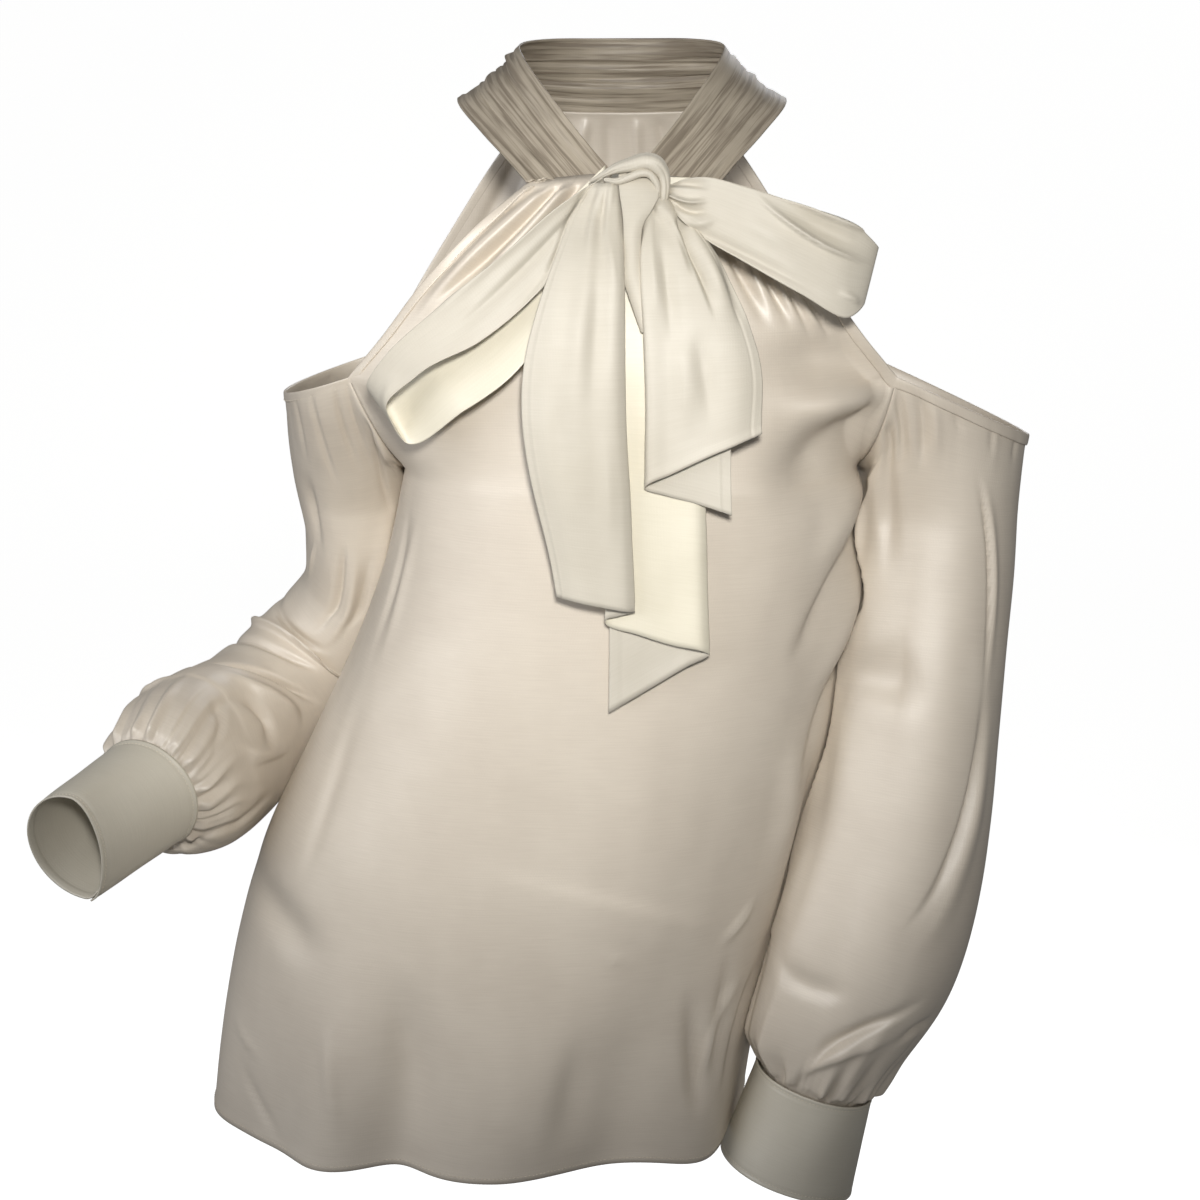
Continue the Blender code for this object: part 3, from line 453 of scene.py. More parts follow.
RIGHT_SLEEVE_CREASES = table(
    CREASE,
    (150, 1, 150, 10, 152, 20, 6.0, 0.8, 2.4, 1),
    (136, 1, 128, 10, 124, 20, 4.0, 0.7, -2.8, 1),
    (110, 0, 108, 5, 112, 10, 2.6, 0.7, -2.0, 1),
    (84, 0, 84, 6, 88, 12, 3.0, 0.7, -1.6, 1),
    (60, 0, 60, 4, 58, 9, 3.0, 0.7, -1.4, 1),
    # soft folds down the upper arm to the elbow
    (58, 10, 52, 18, 54, 27, 6.0, 0.7, -3.2, 0),
    (46, 24, 36, 29, 22, 35, 2.4, 0.6, 1.8, 0),
    (82, 22, 74, 32, 66, 44, 4.4, 0.45, -4.2, 0),
    (92, 22, 86, 34, 80, 46, 5.5, 0.7, 3.0, 0),
    (104, 24, 98, 32, 88, 40, 5.0, 0.6, -3.4, 0),
    (130, 14, 118, 26, 112, 40, 9.0, 0.8, 2.6, 0),
    # the cloth bunched over the elbow, with its sharp lower edge
    (128, 48, 88, 55, -46, 53, 6.5, 0.5, 8.5, 0),
    (124, 56, 86, 62, -30, 59, 5.0, 0.9, -4.4, 0),
    (96, 44, 40, 48, -30, 46, 6.0, 0.6, -4.5, 0),
    # the puff of the forearm: its upper edge, a curled hollow on its front, small creases by the cuff
    (158, 62, 124, 70, 88, 80, 3.8, 0.8, -6.0, 0),
    (160, 69, 142, 74, 104, 84, 7.0, 0.9, 5.0, 0),
    (172, 84, 150, 80, 126, 90, 6.5, 0.9, -5.0, 0),
    (176, 74, 174, 84, 160, 93, 5.0, 0.9, 3.4, 0),
    (120, 92, 142, 92, 158, 97, 4.0, 0.6, -3.0, 0),
    (90, 84, 66, 80, 40, 84, 4.0, 0.6, -3.6, 0),
    (84, 90, 60, 88, 30, 90, 6.0, 0.7, 3.0, 0),
    # the back
    (-150, 60, -128, 74, -90, 80, 6.0, 0.6, -4.4, 0),
    (-160, 78, -140, 88, -120, 97, 5.0, 0.6, -3.4, 0),
    (-40, 8, -52, 22, -48, 40, 6.0, 0.7, -2.6, 0),
    (-96, 4, -96, 20, -104, 36, 6.0, 0.7, 2.4, 0),
    (-150, 44, -100, 50, -20, 47, 8.0, 0.4, 5.0, 0),
    (-140, 50, -96, 56, -24, 52, 4.0, 0.6, -4.2, 0),
    (-100, 62, -64, 72, -30, 70, 6.0, 0.6, -4.0, 0),
)
# Folds of the loops and tails, x to the wearer's left.
RIGHT_LOOP_CREASES = table(
    CREASE,
    (-12, -73, -56, -106, -122, -168, 3.4, 0.5, 2.2, 1),
    (-12, -78, -50, -118, -100, -164, 4.0, 0.6, -2.6, 1),
    (-14, -82, -38, -124, -70, -162, 3.6, 0.5, 2.4, 1),
    (-20, -80, -34, -110, -46, -146, 2.6, 0.6, -2.4, 1),
    (-118, -176, -126, -190, -122, -204, 4.0, 0.7, 1.6, 0),
)
LEFT_LOOP_CREASES = table(
    CREASE,
    # the small tunnel of cloth beside the knot
    (22, -79, 34, -79, 46, -81, 3.6, 0.3, 3.4, 1),
    (26, -85, 35, -88, 45, -86, 1.2, 0.8, -3.6, 1),
    (26, -89, 36, -93, 45, -91, 2.4, 0.5, 3.2, 1),
    (30, -97, 40, -99, 49, -93, 3.0, 0.7, -2.4, 0),
    # fold lines out to the end
    (64, -80, 98, -107, 133, -120, 2.0, 0.35, -4.6, 0),
    (68, -79, 104, -101, 134, -112, 4.4, 0.9, 3.4, 0),
    (74, -81, 112, -97, 133, -104, 1.8, 0.5, -3.2, 0),
    (112, -134, 120, -138, 126, -142, 2.4, 0.5, -2.0, 0),
    (34, -102, 66, -116, 112, -140, 3.0, 0.6, 1.8, 1),
    (58, -92, 74, -104, 92, -112, 5.0, 0.8, -1.2, 0),
)
RIGHT_TAIL_CREASES = table(
    CREASE,
    (-12, -82, -17, -98, -18, -120, 3.4, 0.7, -1.8, 1),
    (-7, -82, -9, -96, -10, -114, 2.6, 0.6, -1.8, 1),
    (-15, -84, -26, -120, -30, -170, 7.0, 0.8, 1.8, 1),
    (-9, -100, -6, -118, -1, -140, 3.0, 0.6, -1.8, 0),
    (-12, -94, -14, -140, -18, -200, 6.5, 0.7, 2.0, 1),
    (-20, -120, -24, -160, -26, -220, 7.0, 0.8, -2.0, 0),
    (-36, -170, -34, -210, -28, -250, 6.0, 0.8, 1.4, 0),
    (-10, -200, -8, -240, -8, -280, 6.0, 0.8, -1.4, 0),
)
LEFT_TAIL_CREASES = table(
    CREASE,
    (19, -92, 29, -104, 37, -122, 5.0, 0.6, 3.6, 1),
    (23, -97, 32, -112, 36, -126, 3.0, 0.6, -3.0, 0),
    (28, -99, 38, -120, 49, -150, 3.4, 0.45, -4.4, 1),
    (34, -102, 46, -122, 57, -148, 5.0, 0.7, 3.0, 1),
    (44, -112, 56, -132, 62, -156, 3.4, 0.6, -2.4, 0),
    (13, -96, 15, -120, 18, -150, 4.0, 0.7, 1.8, 1),
    (18, -104, 22, -130, 26, -170, 5.0, 0.6, -2.4, 0),
    (38, -150, 42, -176, 48, -206, 6.0, 0.7, -2.0, 0),
    (30, -150, 32, -180, 34, -212, 6.0, 0.8, 1.6, 0),
)


# --- section functions, as the solids' --------------------------------------------------------------------


def smooth(knots, values, at):
    """Values at places between the knots, on cubics that pass through each of them."""
    knots, values = np.asarray(knots, float), np.asarray(values, float)
    if knots[0] > knots[-1]:
        knots, values = knots[::-1], values[::-1]
    slopes = np.gradient(values, knots, axis=0)
    at = np.asarray(at, float)
    first = np.clip(np.searchsorted(knots, at) - 1, 0, len(knots) - 2)
    step = knots[first + 1] - knots[first]
    f = (at - knots[first]) / step
    if values.ndim > 1:
        f, step = (np.expand_dims(a, tuple(range(at.ndim, at.ndim + values.ndim - 1))) for a in (f, step))
    return (
        (2 * f**3 - 3 * f**2 + 1) * values[first]
        + (f**3 - 2 * f**2 + f) * step * slopes[first]
        + (3 * f**2 - 2 * f**3) * values[first + 1]
        + (f**3 - f**2) * step * slopes[first + 1]
    )


def columns_of(rows, names):
    return np.stack([rows[name] for name in names.split()], axis=1)


def along(rows, names, f):
    """The named columns at fractions f of the way along the line through the table's points."""
    values = columns_of(rows, names)
    lengths = np.linalg.norm(np.diff(values[:, :3], axis=0), axis=1)
    return smooth(np.append(0, np.cumsum(lengths)) / lengths.sum(), values, f)


def ease(f):
    """0 to 1 with level ends."""
    f = np.clip(f, 0.0, 1.0)
    return f * f * (3 - 2 * f)


def bell(distance, width):
    """1 at no distance, falling off softly over a width."""
    return np.exp(-((distance / width) ** 2))


def armhole(side, face, turn):
    """The armhole seam: turn 0 is its top by the open shoulder, turn 90 the underarm."""
    top = along(FRONT_EDGE if face == FRONT else BACK_EDGE, "x y z", 0)
    under_x = abs(smooth(BODY["z"], BODY["left" if side == LEFT else "right"], UNDERARM_Z))
    rise = 1 - math.sin(math.radians(turn))
    return np.array(
        (
            side * (under_x + (top[0] - under_x) * rise),
            top[1] * math.cos(math.radians(turn)),
            UNDERARM_Z + (top[2] - UNDERARM_Z) * rise,
        )
    )


def panel_edge(side, face, zone, f):
    """An edge of the front or back: zone 0 is the side seam from the hem, 1 the armhole, 2 the shoulder."""
    if zone == 0:
        z = HEM_Z + (UNDERARM_Z - HEM_Z) * f
        x = smooth(BODY["z"], BODY["left" if side == LEFT else "right"], z)
        return np.array((x, 0, z))
    if zone == 1:
        return armhole(side, face, 90 * (1 - f))
    return along(FRONT_EDGE if face == FRONT else BACK_EDGE, "x y z", f) * (side, 1, 1)


def panel_middle(face, zone, f):
    """The centre line of the front or back, half the turn its cloth makes round the body, and its shape."""
    side = "front" if face == FRONT else "back"
    if zone == 0:
        z = HEM_Z + (UNDERARM_Z - HEM_Z) * f
        names = ("right", "left", side, side + "_shape")
        right, left, y, shape = (smooth(BODY["z"], BODY[name], z) for name in names)
        return np.array(((right + left) / 2, y, z)), UNDERARM_TURN, shape
    profile = FRONT_MIDDLE if face == FRONT else BACK_MIDDLE
    top_z = NECK_SEAM_Z if face == FRONT else profile["z"][-1]
    under_x = (BODY["right"][-1] + BODY["left"][-1]) / 2
    under_shape = BODY[side + "_shape"][-1]
    if zone == 1:
        z = UNDERARM_Z + (ARMHOLE_MIDDLE_Z - UNDERARM_Z) * f
        turn = UNDERARM_TURN + (ARMHOLE_TURN - UNDERARM_TURN) * f
        x, shape = under_x * (1 - f / 2), under_shape + (1 - under_shape) * f
    else:
        z = ARMHOLE_MIDDLE_Z + (top_z - ARMHOLE_MIDDLE_Z) * f
        turn = ARMHOLE_TURN + (NECK_TURN - ARMHOLE_TURN) * f
        x, shape = under_x * (1 - f) / 2, 1
    return np.array((x, smooth(profile["z"], profile["y"], z), z)), turn, shape


def panel_row(face, zone, f, across):
    """Points across the front or back, from -1 at its right edge to 1 at its left, evenly spread."""
    middle, turn, shape = panel_middle(face, zone, f)
    angle = math.radians(turn)
    share = np.sin(angle * abs(across)) / math.sin(angle)
    s = np.sign(across) * np.arcsin(np.clip(math.sin(angle) * share ** (1 / shape), 0, 1)) / angle
    forward = np.clip(np.cos(angle * s) - math.cos(angle), 0, None) / (1 - math.cos(angle))
    right, left = (panel_edge(side, face, zone, f) for side in (RIGHT, LEFT))
    edge = np.where(across[:, None] > 0, left, right)
    points = middle + (edge - middle) * np.stack((share, 1 - forward**shape, s * s), axis=1)
    if zone:
        return points
    flutes = FRONT_FLUTES if face == FRONT else BACK_FLUTES
    fall = ease((flutes["start"] - points[:, 2:]) / (flutes["start"] - HEM_Z))
    fall = fall * bell(s[:, None] - flutes["place"], flutes["width"])
    fall *= np.minimum(1.0, FLUTE_FADE * (1 - abs(s)))[:, None]
    out, down = fall @ flutes["out"], fall @ flutes["down"]
    return points + np.stack((out * np.sin(angle * s), face * out * np.cos(angle * s), -down), axis=1)


def panel_grid(face, columns, counts):
    """Rows from the hem to the neckband, with counts for the side seam, the armhole and the shoulder."""
    places = [(zone, f) for zone in (0, 1) for f in np.linspace(0, 1, counts[zone] + 1)[:-1]]
    places += [(2, f) for f in np.linspace(0, 1, counts[2] + 1)]
    across = np.linspace(-1, 1, columns + 1)
    return np.array([panel_row(face, zone, f, across) for zone, f in places])


def ring_frame(rows, f):
    """The middle, the way down the sleeve, outwards and forwards, and the half-sizes, at a fraction f."""
    here = along(rows, "x y z wide deep", f)
    ahead, behind = along(rows, "x y z", min(f + 0.01, 1)), along(rows, "x y z", max(f - 0.01, 0))
    down = (ahead - behind) / np.linalg.norm(ahead - behind)
    out = np.array((1.0, 0, 0)) - down[0] * down
    out /= np.linalg.norm(out)
    return here[:3], down, out, np.cross(down, out), here[3], here[4]


def sleeve_top(side, angle):
    """The sleeve's top line: the open shoulder round its outside, the armhole seam towards the body."""
    face = FRONT if angle > 0 else BACK
    if abs(angle) > OPEN_TURN:
        seam = armhole(side, face, 90 * (abs(angle) - OPEN_TURN) / (180 - OPEN_TURN))
        return seam * (side, 1, 1) + (SLEEVE_LEDGE, 0, 0)
    end = armhole(side, face, 0) * (side, 1, 1) + (SLEEVE_LEDGE, 0, 0)
    turn = math.radians(90 * abs(angle) / OPEN_TURN)
    outer = np.array(OUTER_TOP[side])
    share = np.array((math.cos(turn), 1 - math.sin(turn), math.cos(turn)))
    return end + (outer - end) * share


def ring_angles(columns):
    return np.linspace(-180, 180, columns + 1)[:-1]


def sleeve_grid(rows, side, columns, count):
    """Rows from the top to the cuff seam, each once round from the back of the inside seam; x is real."""
    angles = ring_angles(columns)
    turn = np.radians(angles)
    top = np.array([sleeve_top(side, angle) for angle in angles])
    inside = (1 - np.cos(turn)) / 2
    points = []
    even = np.linspace(0, 1, count + 1)
    for f in (1 - SLEEVE_END) * (even + CLOSER * even * (1 - even)):
        middle, _, out, fore, wide, deep = ring_frame(rows, f)
        ring = middle + np.outer(np.cos(turn), out * wide) + np.outer(np.sin(turn), fore * deep)
        share = ease(f / TOP_BLEND)
        fall = min(f / TOP_BLEND, 1)
        drop = np.stack((UNDERARM_FLARE * inside, 0 * inside, -TOP_DROP + 0 * inside), axis=1) * fall
        points.append((top + drop) * (1 - share) + ring * share)
    return np.array(points) * (side, 1, 1)


def cuff_grid(rows, cuff, side, columns, count):
    """The cuff from one end of its lap right round to the other, which lies over it."""
    start, _, out, fore, wide, deep = ring_frame(rows, 1)
    end = np.array(cuff["end"])
    f = np.linspace(0, 1, columns + 1)
    turn = np.radians(cuff["lap_at"] + (360 + CUFF_LAP) * f)
    lift = LAP_LIFT * ease(1 - 360 * (1 - f) / LAP_RISE)
    points = []
    for down in np.linspace(0, 1, count + 1):
        a = wide + (cuff["wide"] - wide) * down + lift
        b = deep + (cuff["deep"] - deep) * down + lift
        a = np.where(np.cos(turn) < 0, a * (1 + (cuff["kept"] - 1) * down), a)
        round_arm = np.outer(a * np.cos(turn), out) + np.outer(b * np.sin(turn), fore)
        points.append(start + (end - start) * down + round_arm)
    return np.array(points) * (side, 1, 1)


def neckband_grid(columns, count):
    """Rows from the shoulder edge to the neck edge, each from the right front end round to the left."""
    names = "x_in y_in z_in x_out y_out z_out"
    half = columns_of(NECKBAND, names)
    whole = np.concatenate((half * (-1, 1, 1, -1, 1, 1), half[::-1]))
    edges = along(dict(zip(names.split(), whole.T)), names, np.linspace(0, 1, columns + 1))
    inner, outer = edges[:, :3], edges[:, 3:]
    lift = np.cross(np.gradient(inner, axis=0), inner - outer)
    lift *= NECKBAND_ROUND / np.linalg.norm(lift, axis=1, keepdims=True)
    fs = np.linspace(0, 1, count + 1)
    return np.array([outer + (inner - outer) * f + lift * 4 * f * (1 - f) for f in fs])


def loop_grid(rows, columns, count):
    """The strip of a loop: rows from its lower to its upper edge, out from the knot and back to it."""
    edges = along(rows, "x_up y_up z_up x_low y_low z_low", np.linspace(0, 1, columns + 1))
    upper, lower = edges[:, :3], edges[:, 3:]
    return np.array([lower + (upper - lower) * f for f in np.linspace(0, 1, count + 1)])


def tail_grid(rows, columns, count):
    """A tail: rows from inside the knot to the slanted hem, each across the folded width."""
    x = columns_of(rows, "x_knot x_top x_fan x_spread x_hem")
    y = columns_of(rows, "y_top y_top y_top y_spread y_hem")
    y[:, 0] += TAIL_SUNK
    y[:, 2] += (y[:, 3] - y[:, 2]) * TAIL_FAN
    levels = (TAIL_KNOT_Z, TAIL_TOP_Z, TAIL_FAN_Z, TAIL_SPREAD_Z)
    z = np.stack([np.full(len(x), level) for level in levels] + [rows["z_hem"]], axis=1)
    stations = np.stack((x, y, z), axis=2)
    lengths = np.linalg.norm(np.diff(stations[:, 3], axis=0), axis=1)
    places = np.append(0, np.cumsum(lengths)) / lengths.sum()
    fine = smooth(places, stations, np.linspace(0, 1, columns + 1)).transpose(1, 0, 2)
    heights = fine[..., 2].mean(axis=1)
    return smooth((heights[0] - heights) / (heights[0] - heights[-1]), fine, np.linspace(0, 1, count + 1))


def tongue_grid(columns, count):
    """The narrow fold that drops from the knot: rows down it, each rounded to the front."""
    places = np.linspace(0, 1, len(TONGUE["z"]))
    fine = smooth(places, columns_of(TONGUE, "left right y z"), np.linspace(0, 1, count + 1))
    across = np.linspace(0, 1, columns + 1)
    x = fine[:, :1] + (fine[:, 1:2] - fine[:, :1]) * across
    y = fine[:, 2:3] + TONGUE_ROUND * (2 * across - 1) ** 2
    return np.stack((x, y, np.broadcast_to(fine[:, 3:], x.shape)), axis=2)


# --- cloth ------------------------------------------------------------------------------------------------


def outward(points, closed=False):
    """The unit normal at each point of a grid, on the side that its faces face."""
    wrapped = np.concatenate((points[:, -2:], points, points[:, :2]), axis=1) if closed else points
    across = np.gradient(wrapped, axis=1)
    if closed:
        across = across[:, 2:-2]
    normals = np.cross(across, np.gradient(points, axis=0))
    return normals / np.maximum(np.linalg.norm(normals, axis=2, keepdims=True), 1e-12)


def crease_heights(x, z, creases):
    """The height that a table's creases give each point, all in metres."""
    heights = np.zeros(x.shape)
    for row in zip(*(creases[name] for name in CREASE.split())):
        x0, z0, x1, z1, x2, z2, wide, steep, high, opened = row
        t = np.linspace(0, 1, CREASE_STEPS)[:, None]
        start, middle, end = np.array(((x0, z0), (x1, z1), (x2, z2))) * MM
        line = (1 - t) ** 2 * start + 2 * t * (1 - t) * (2 * middle - (start + end) / 2) + t**2 * end
        reach = CREASE_REACH * wide * MM
        low, top = line.min(axis=0) - reach, line.max(axis=0) + reach
        near = (x > low[0]) & (x < top[0]) & (z > low[1]) & (z < top[1])
        if not near.any():
            continue
        points = np.stack((x[near], z[near]), axis=1)[:, None]
        step = line[1:] - line[:-1]
        share = np.clip(((points - line[:-1]) * step).sum(axis=2) / (step**2).sum(axis=1), 0, 1)
        off = points - line[:-1] - share[..., None] * step
        distance = np.linalg.norm(off, axis=2)
        nearest = distance.argmin(axis=1)[:, None]
        off = np.take_along_axis(off, nearest[..., None], axis=1)[:, 0]
        place = (nearest[:, 0] + np.take_along_axis(share, nearest, axis=1)[:, 0]) / len(step)
        ahead = step[nearest[:, 0]]
        side = ahead[:, 0] * off[:, 1] - ahead[:, 1] * off[:, 0]
        width = np.where(side > 0, wide, wide * steep) * MM
        fade = ease((1 - place) * CREASE_FADE) * (1 if opened else ease(place * CREASE_FADE))
        heights[near] += high * MM * fade * bell(distance.min(axis=1), width)
    return heights


def unevenness(points, ripples, seed, stretch=(1, 1, 0.35)):
    """Heights of soft unevenness: smooth noise for each length and height, drawn out down the cloth."""
    heights = 0
    for length, height in ripples:
        shift = Vector((seed * 7.3, seed * 3.1, seed * 5.7))
        scale = Vector(stretch) / length
        values = [noise.noise(Vector(p) * scale + shift) for p in points.reshape(-1, 3).tolist()]
        heights = heights + height * np.array(values).reshape(points.shape[:-1])
        seed += 1
    return heights


def gathers(columns, reach, count, seed, width, height):
    """Pleats out from a gathered seam: heights by column and by distance from the seam."""
    draw = random.Random(seed)
    places = np.linspace(0, 1, columns, endpoint=False)
    heights = np.zeros((len(reach), columns))
    for i in range(count):
        place = (i + draw.uniform(-0.32, 0.32)) / count
        long = draw.choice((0.012, 0.018, 0.026, 0.036, 0.050)) * draw.uniform(0.8, 1.2)
        lean = draw.uniform(-0.25, 0.25)
        tall = height * draw.uniform(0.5, 1.2) * (1 if i % 2 else -0.8)
        wide = width * draw.uniform(0.7, 1.4)
        at = place + lean * reach[:, None]
        off = abs((places - at + 0.5) % 1 - 0.5)
        grow = wide * (1 + reach[:, None] * 22)
        heights += tall * bell(off, grow) * bell(reach[:, None], long)
    return heights


def lengths_of(points):
    """The distance of each row from the first, down the middle of the grid's columns, averaged."""
    return np.append(0, np.cumsum(np.linalg.norm(np.diff(points, axis=0), axis=2).mean(axis=1)))


def wrap(grid):
    """A grid with its first column again after its last."""
    return np.concatenate((grid, grid[:, :1]), axis=1)


def corners_of(grid):
    """The four corners of each face between a grid's rows and columns."""
    return np.stack((grid[:-1, :-1], grid[:-1, 1:], grid[1:, 1:], grid[1:, :-1]), axis=2)


def new_object(name, data):
    thing = bpy.data.objects.new(name, data)
    bpy.context.scene.collection.objects.link(thing)
    return thing


def new_mesh(name, points, faces, finish):
    mesh = bpy.data.meshes.new(name)
    mesh.from_pydata(points, [], faces)
    mesh.shade_smooth()
    mesh.materials.append(finish)
    return mesh


def shell(name, points, thick, finish, closed=False, flip=False):
    """One piece of cloth from a grid of points, with its own length and width as its UVs."""
    rows, columns = points.shape[:2]
    index = np.arange(rows * columns).reshape(rows, columns)
    if closed:
        index = wrap(index)
    corners = corners_of(index).reshape(-1, 4)
    across = np.cumsum(np.linalg.norm(np.diff(wrap(points) if closed else points, axis=1), axis=2), axis=1)
    across = np.concatenate((np.zeros((rows, 1)), across), axis=1)
    across -= across[:, across.shape[1] // 2, None]
    down = np.broadcast_to(lengths_of(points)[:, None], across.shape)
    uv = corners_of(np.stack((across, down), axis=-1)).reshape(-1, 4, 2)
    if flip:
        corners, uv = corners[:, ::-1], uv[:, ::-1]
    mesh = new_mesh(name, points.reshape(-1, 3).tolist(), corners.tolist(), finish)
    layer = mesh.uv_layers.new(name="cloth")
    layer.uv.foreach_set("vector", uv.reshape(-1).astype(np.float32))
    piece = new_object(name, mesh)
    if thick:
        solidify = piece.modifiers.new("thickness", "SOLIDIFY")
        solidify.thickness = thick
        solidify.offset = -1
    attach(piece, "root")
    return piece


def band(name, edge, into, normals):
    """A narrow strip folded over an edge: a flat U in section, open on the side of the cloth."""
    turns = np.radians(np.linspace(12, 348, 13))  # the opening takes up the other 24 degrees
    a = np.sign(np.cos(turns)) * abs(np.cos(turns)) ** 0.45
    b = np.sign(np.sin(turns)) * abs(np.sin(turns)) ** 0.6
    sections = (
        edge[:, None]
        + into[:, None] * (0.5 + 0.5 * a)[:, None] * BINDING_WIDTH
        + normals[:, None] * (0.2 + 0.8 * b)[:, None] * BINDING_HEIGHT
    )
    return shell(name, sections, SILK, body_silk)


def stitches(name, lines, size=0.00022):
    """Rows of machine stitches, each a short bead along its line, joined in one mesh."""
    verts, faces = [], []
    for line, normals in lines:
        lengths = np.append(0, np.cumsum(np.linalg.norm(np.diff(line, axis=0), axis=1)))
        for at in np.arange(STITCH / 2, lengths[-1], STITCH):
            ends = [at - STITCH_LONG / 2, at, at + STITCH_LONG / 2]
            spine = [np.array([np.interp(e, lengths, line[:, k]) for k in range(3)]) for e in ends]
            up = np.array([np.interp(at, lengths, normals[:, k]) for k in range(3)])
            way = spine[2] - spine[0]
            side = np.cross(way, up)
            side *= size / max(np.linalg.norm(side), 1e-9)
            up = up * size / max(np.linalg.norm(up), 1e-9)
            base = len(verts)
            for place, grow, rise in zip(spine, (0.5, 1.0, 0.5), (-0.4, 0.5, -0.4)):
                for c, s in ((1, 0), (0.3, 1), (-0.3, 1), (-1, 0), (0, -1)):
                    verts.append(tuple(place + side * c * grow + up * (s * grow + rise)))
            for ring in (0, 5):
                for k in range(5):
                    a, b = base + ring + k, base + ring + (k + 1) % 5
                    faces.append((a, b, b + 5, a + 5))
            faces.append(tuple(base + k for k in (4, 3, 2, 1, 0)))
            faces.append(tuple(base + 10 + k for k in range(5)))
    piece = new_object(name, new_mesh(name, verts, faces, thread))
    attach(piece, "root")
    return piece


# --- finishes ---------------------------------------------------------------------------------------------


def linear(hex_colour):
    """An sRGB hex colour as linear RGBA."""
    channels = [int(hex_colour[i : i + 2], 16) / 255 for i in (1, 3, 5)]
    return [c / 12.92 if c <= 0.04045 else ((c + 0.055) / 1.055) ** 2.4 for c in channels] + [1]


def add(tree, kind, settings=(), **links):
    """A node with its settings, and its inputs linked or set by name; an underscore stands for a space."""
    node = tree.nodes.new("ShaderNode" + kind)
    for key, value in dict(settings).items():
        setattr(node, key, value)
    for key, value in links.items():
        socket = node.inputs[int(key[1:])] if key[0] == "_" else node.inputs[key.replace("_", " ")]
        if isinstance(value, bpy.types.NodeSocket):
            tree.links.new(value, socket)
        else:
            socket.default_value = value
    return node


def new_material(name):
    material = bpy.data.materials.new(name)
    material.use_nodes = True
    return material, material.node_tree, material.node_tree.nodes["Principled BSDF"]


def spread(tree, value, low, high, new_low, new_high):
    """A value's range, from low to high, spread over a new one."""
    ends = {"From_Min": low, "From_Max": high, "To_Min": new_low, "To_Max": new_high}
    return add(tree, "MapRange", Value=value, **ends).outputs[0]


def silk_charmeuse(name, light, shade, roughness, slub, sheen, gloss, painted_pleat_shade=0.0):
    """Woven silk: long floats of bright yarn give the satin face its soft broad gloss; the back is duller.

    Real yarn is 0.1 mm, too fine to show, so the weave is drawn coarser and faintly. Light and shade are the
    two tones; slub is the share of the darker one in the slubs, and the last argument its share in streaks
    of painted pleat shade.
    """
    material, tree, shader = new_material(name)
    settings = {
        "Roughness": roughness,
        "IOR": 1.54,
        # the satin face throws back twice what a plain weave does; its back is plain
        "Specular IOR Level": gloss,
        "Anisotropic": 0.35,
        "Sheen Weight": sheen,
        "Sheen Roughness": 0.45,
        "Sheen Tint": linear(light),
    }
    for socket, value in settings.items():
        shader.inputs[socket].default_value = value
    cloth = add(tree, "UVMap", {"uv_map": "cloth"}).outputs["UV"]
    place = add(tree, "TexCoord").outputs["Object"]
    # weft slubs: thicker stretches of yarn, 25 mm long and under 1 mm high, across the cloth
    drawn = add(tree, "Mapping", Vector=cloth, Scale=(40, 1300, 1)).outputs[0]
    slubs = add(tree, "TexNoise", Vector=drawn, Scale=1.0, Detail=2.0, Roughness=0.6).outputs["Fac"]
    # clouds: where handling has dulled the face, about 60 mm across
    clouds = add(tree, "TexNoise", Vector=place, Scale=16.0, Detail=3.0, Roughness=0.55).outputs["Fac"]
    scale = 1 / (2 * math.pi * YARN)  # a wave's period is then a yarn and the gap beside it
    yarns = [
        add(tree, "TexWave", {"bands_direction": way}, Vector=cloth, Scale=scale).outputs["Fac"]
        for way in "XY"
    ]
    weave = add(tree, "Math", {"operation": "MULTIPLY"}, _0=yarns[0], _1=yarns[1]).outputs[0]
    tone = spread(tree, clouds, 0.3, 0.7, 0.0, 0.6)
    slub_tone = spread(tree, slubs, 0.35, 0.75, 0.0, slub)
    # painted shade of drawn pleats: darker streaks 80 mm long and 3 mm apart, where the folds of two and
    # three thicknesses of thin silk lie
    pleated = add(tree, "Mapping", Vector=cloth, Scale=(12, 330, 1)).outputs[0]
    pleat_shade_streaks = add(tree, "TexNoise", Vector=pleated, Scale=1.0, Detail=3.0, Roughness=0.6).outputs["Fac"]
    deep = spread(tree, pleat_shade_streaks, 0.45, 0.65, 0.0, painted_pleat_shade)
    both = add(tree, "Math", {"operation": "ADD"}, _0=tone, _1=slub_tone).outputs[0]
    share = add(tree, "Math", {"operation": "ADD", "use_clamp": True}, _0=both, _1=deep).outputs[0]
    mix = add(tree, "Mix", {"data_type": "RGBA"}, _0=share, _6=linear(light), _7=linear(shade))
    tree.links.new(mix.outputs[2], shader.inputs["Base Color"])
    rough = spread(tree, clouds, 0.25, 0.75, roughness - 0.05, roughness + 0.07)
    tree.links.new(rough, shader.inputs["Roughness"])
    crepe = add(tree, "TexNoise", Vector=place, Scale=420.0, Detail=2.0, Roughness=0.5).outputs["Fac"]
    fine = add(tree, "Bump", Height=weave, Strength=0.10, Distance=0.0002).outputs[0]
    soft = add(tree, "Bump", Height=crepe, Strength=0.12, Distance=0.0004, Normal=fine).outputs[0]
    bump = add(tree, "Bump", Height=slubs, Strength=0.10, Distance=0.0003, Normal=soft).outputs[0]
    tree.links.new(bump, shader.inputs["Normal"])
    return material


def lit_acrylic(name):
    """White opal acrylic lit from below, as a product studio's sweep is: an even near-white."""
    material, _, shader = new_material(name)
    shader.inputs["Base Color"].default_value = linear("#F2F2F0")
    shader.inputs["Roughness"].default_value = 0.6
    shader.inputs["IOR"].default_value = 1.49
    shader.inputs["Emission Color"].default_value = linear("#FFFFFF")
    shader.inputs["Emission Strength"].default_value = 0.85
    return material


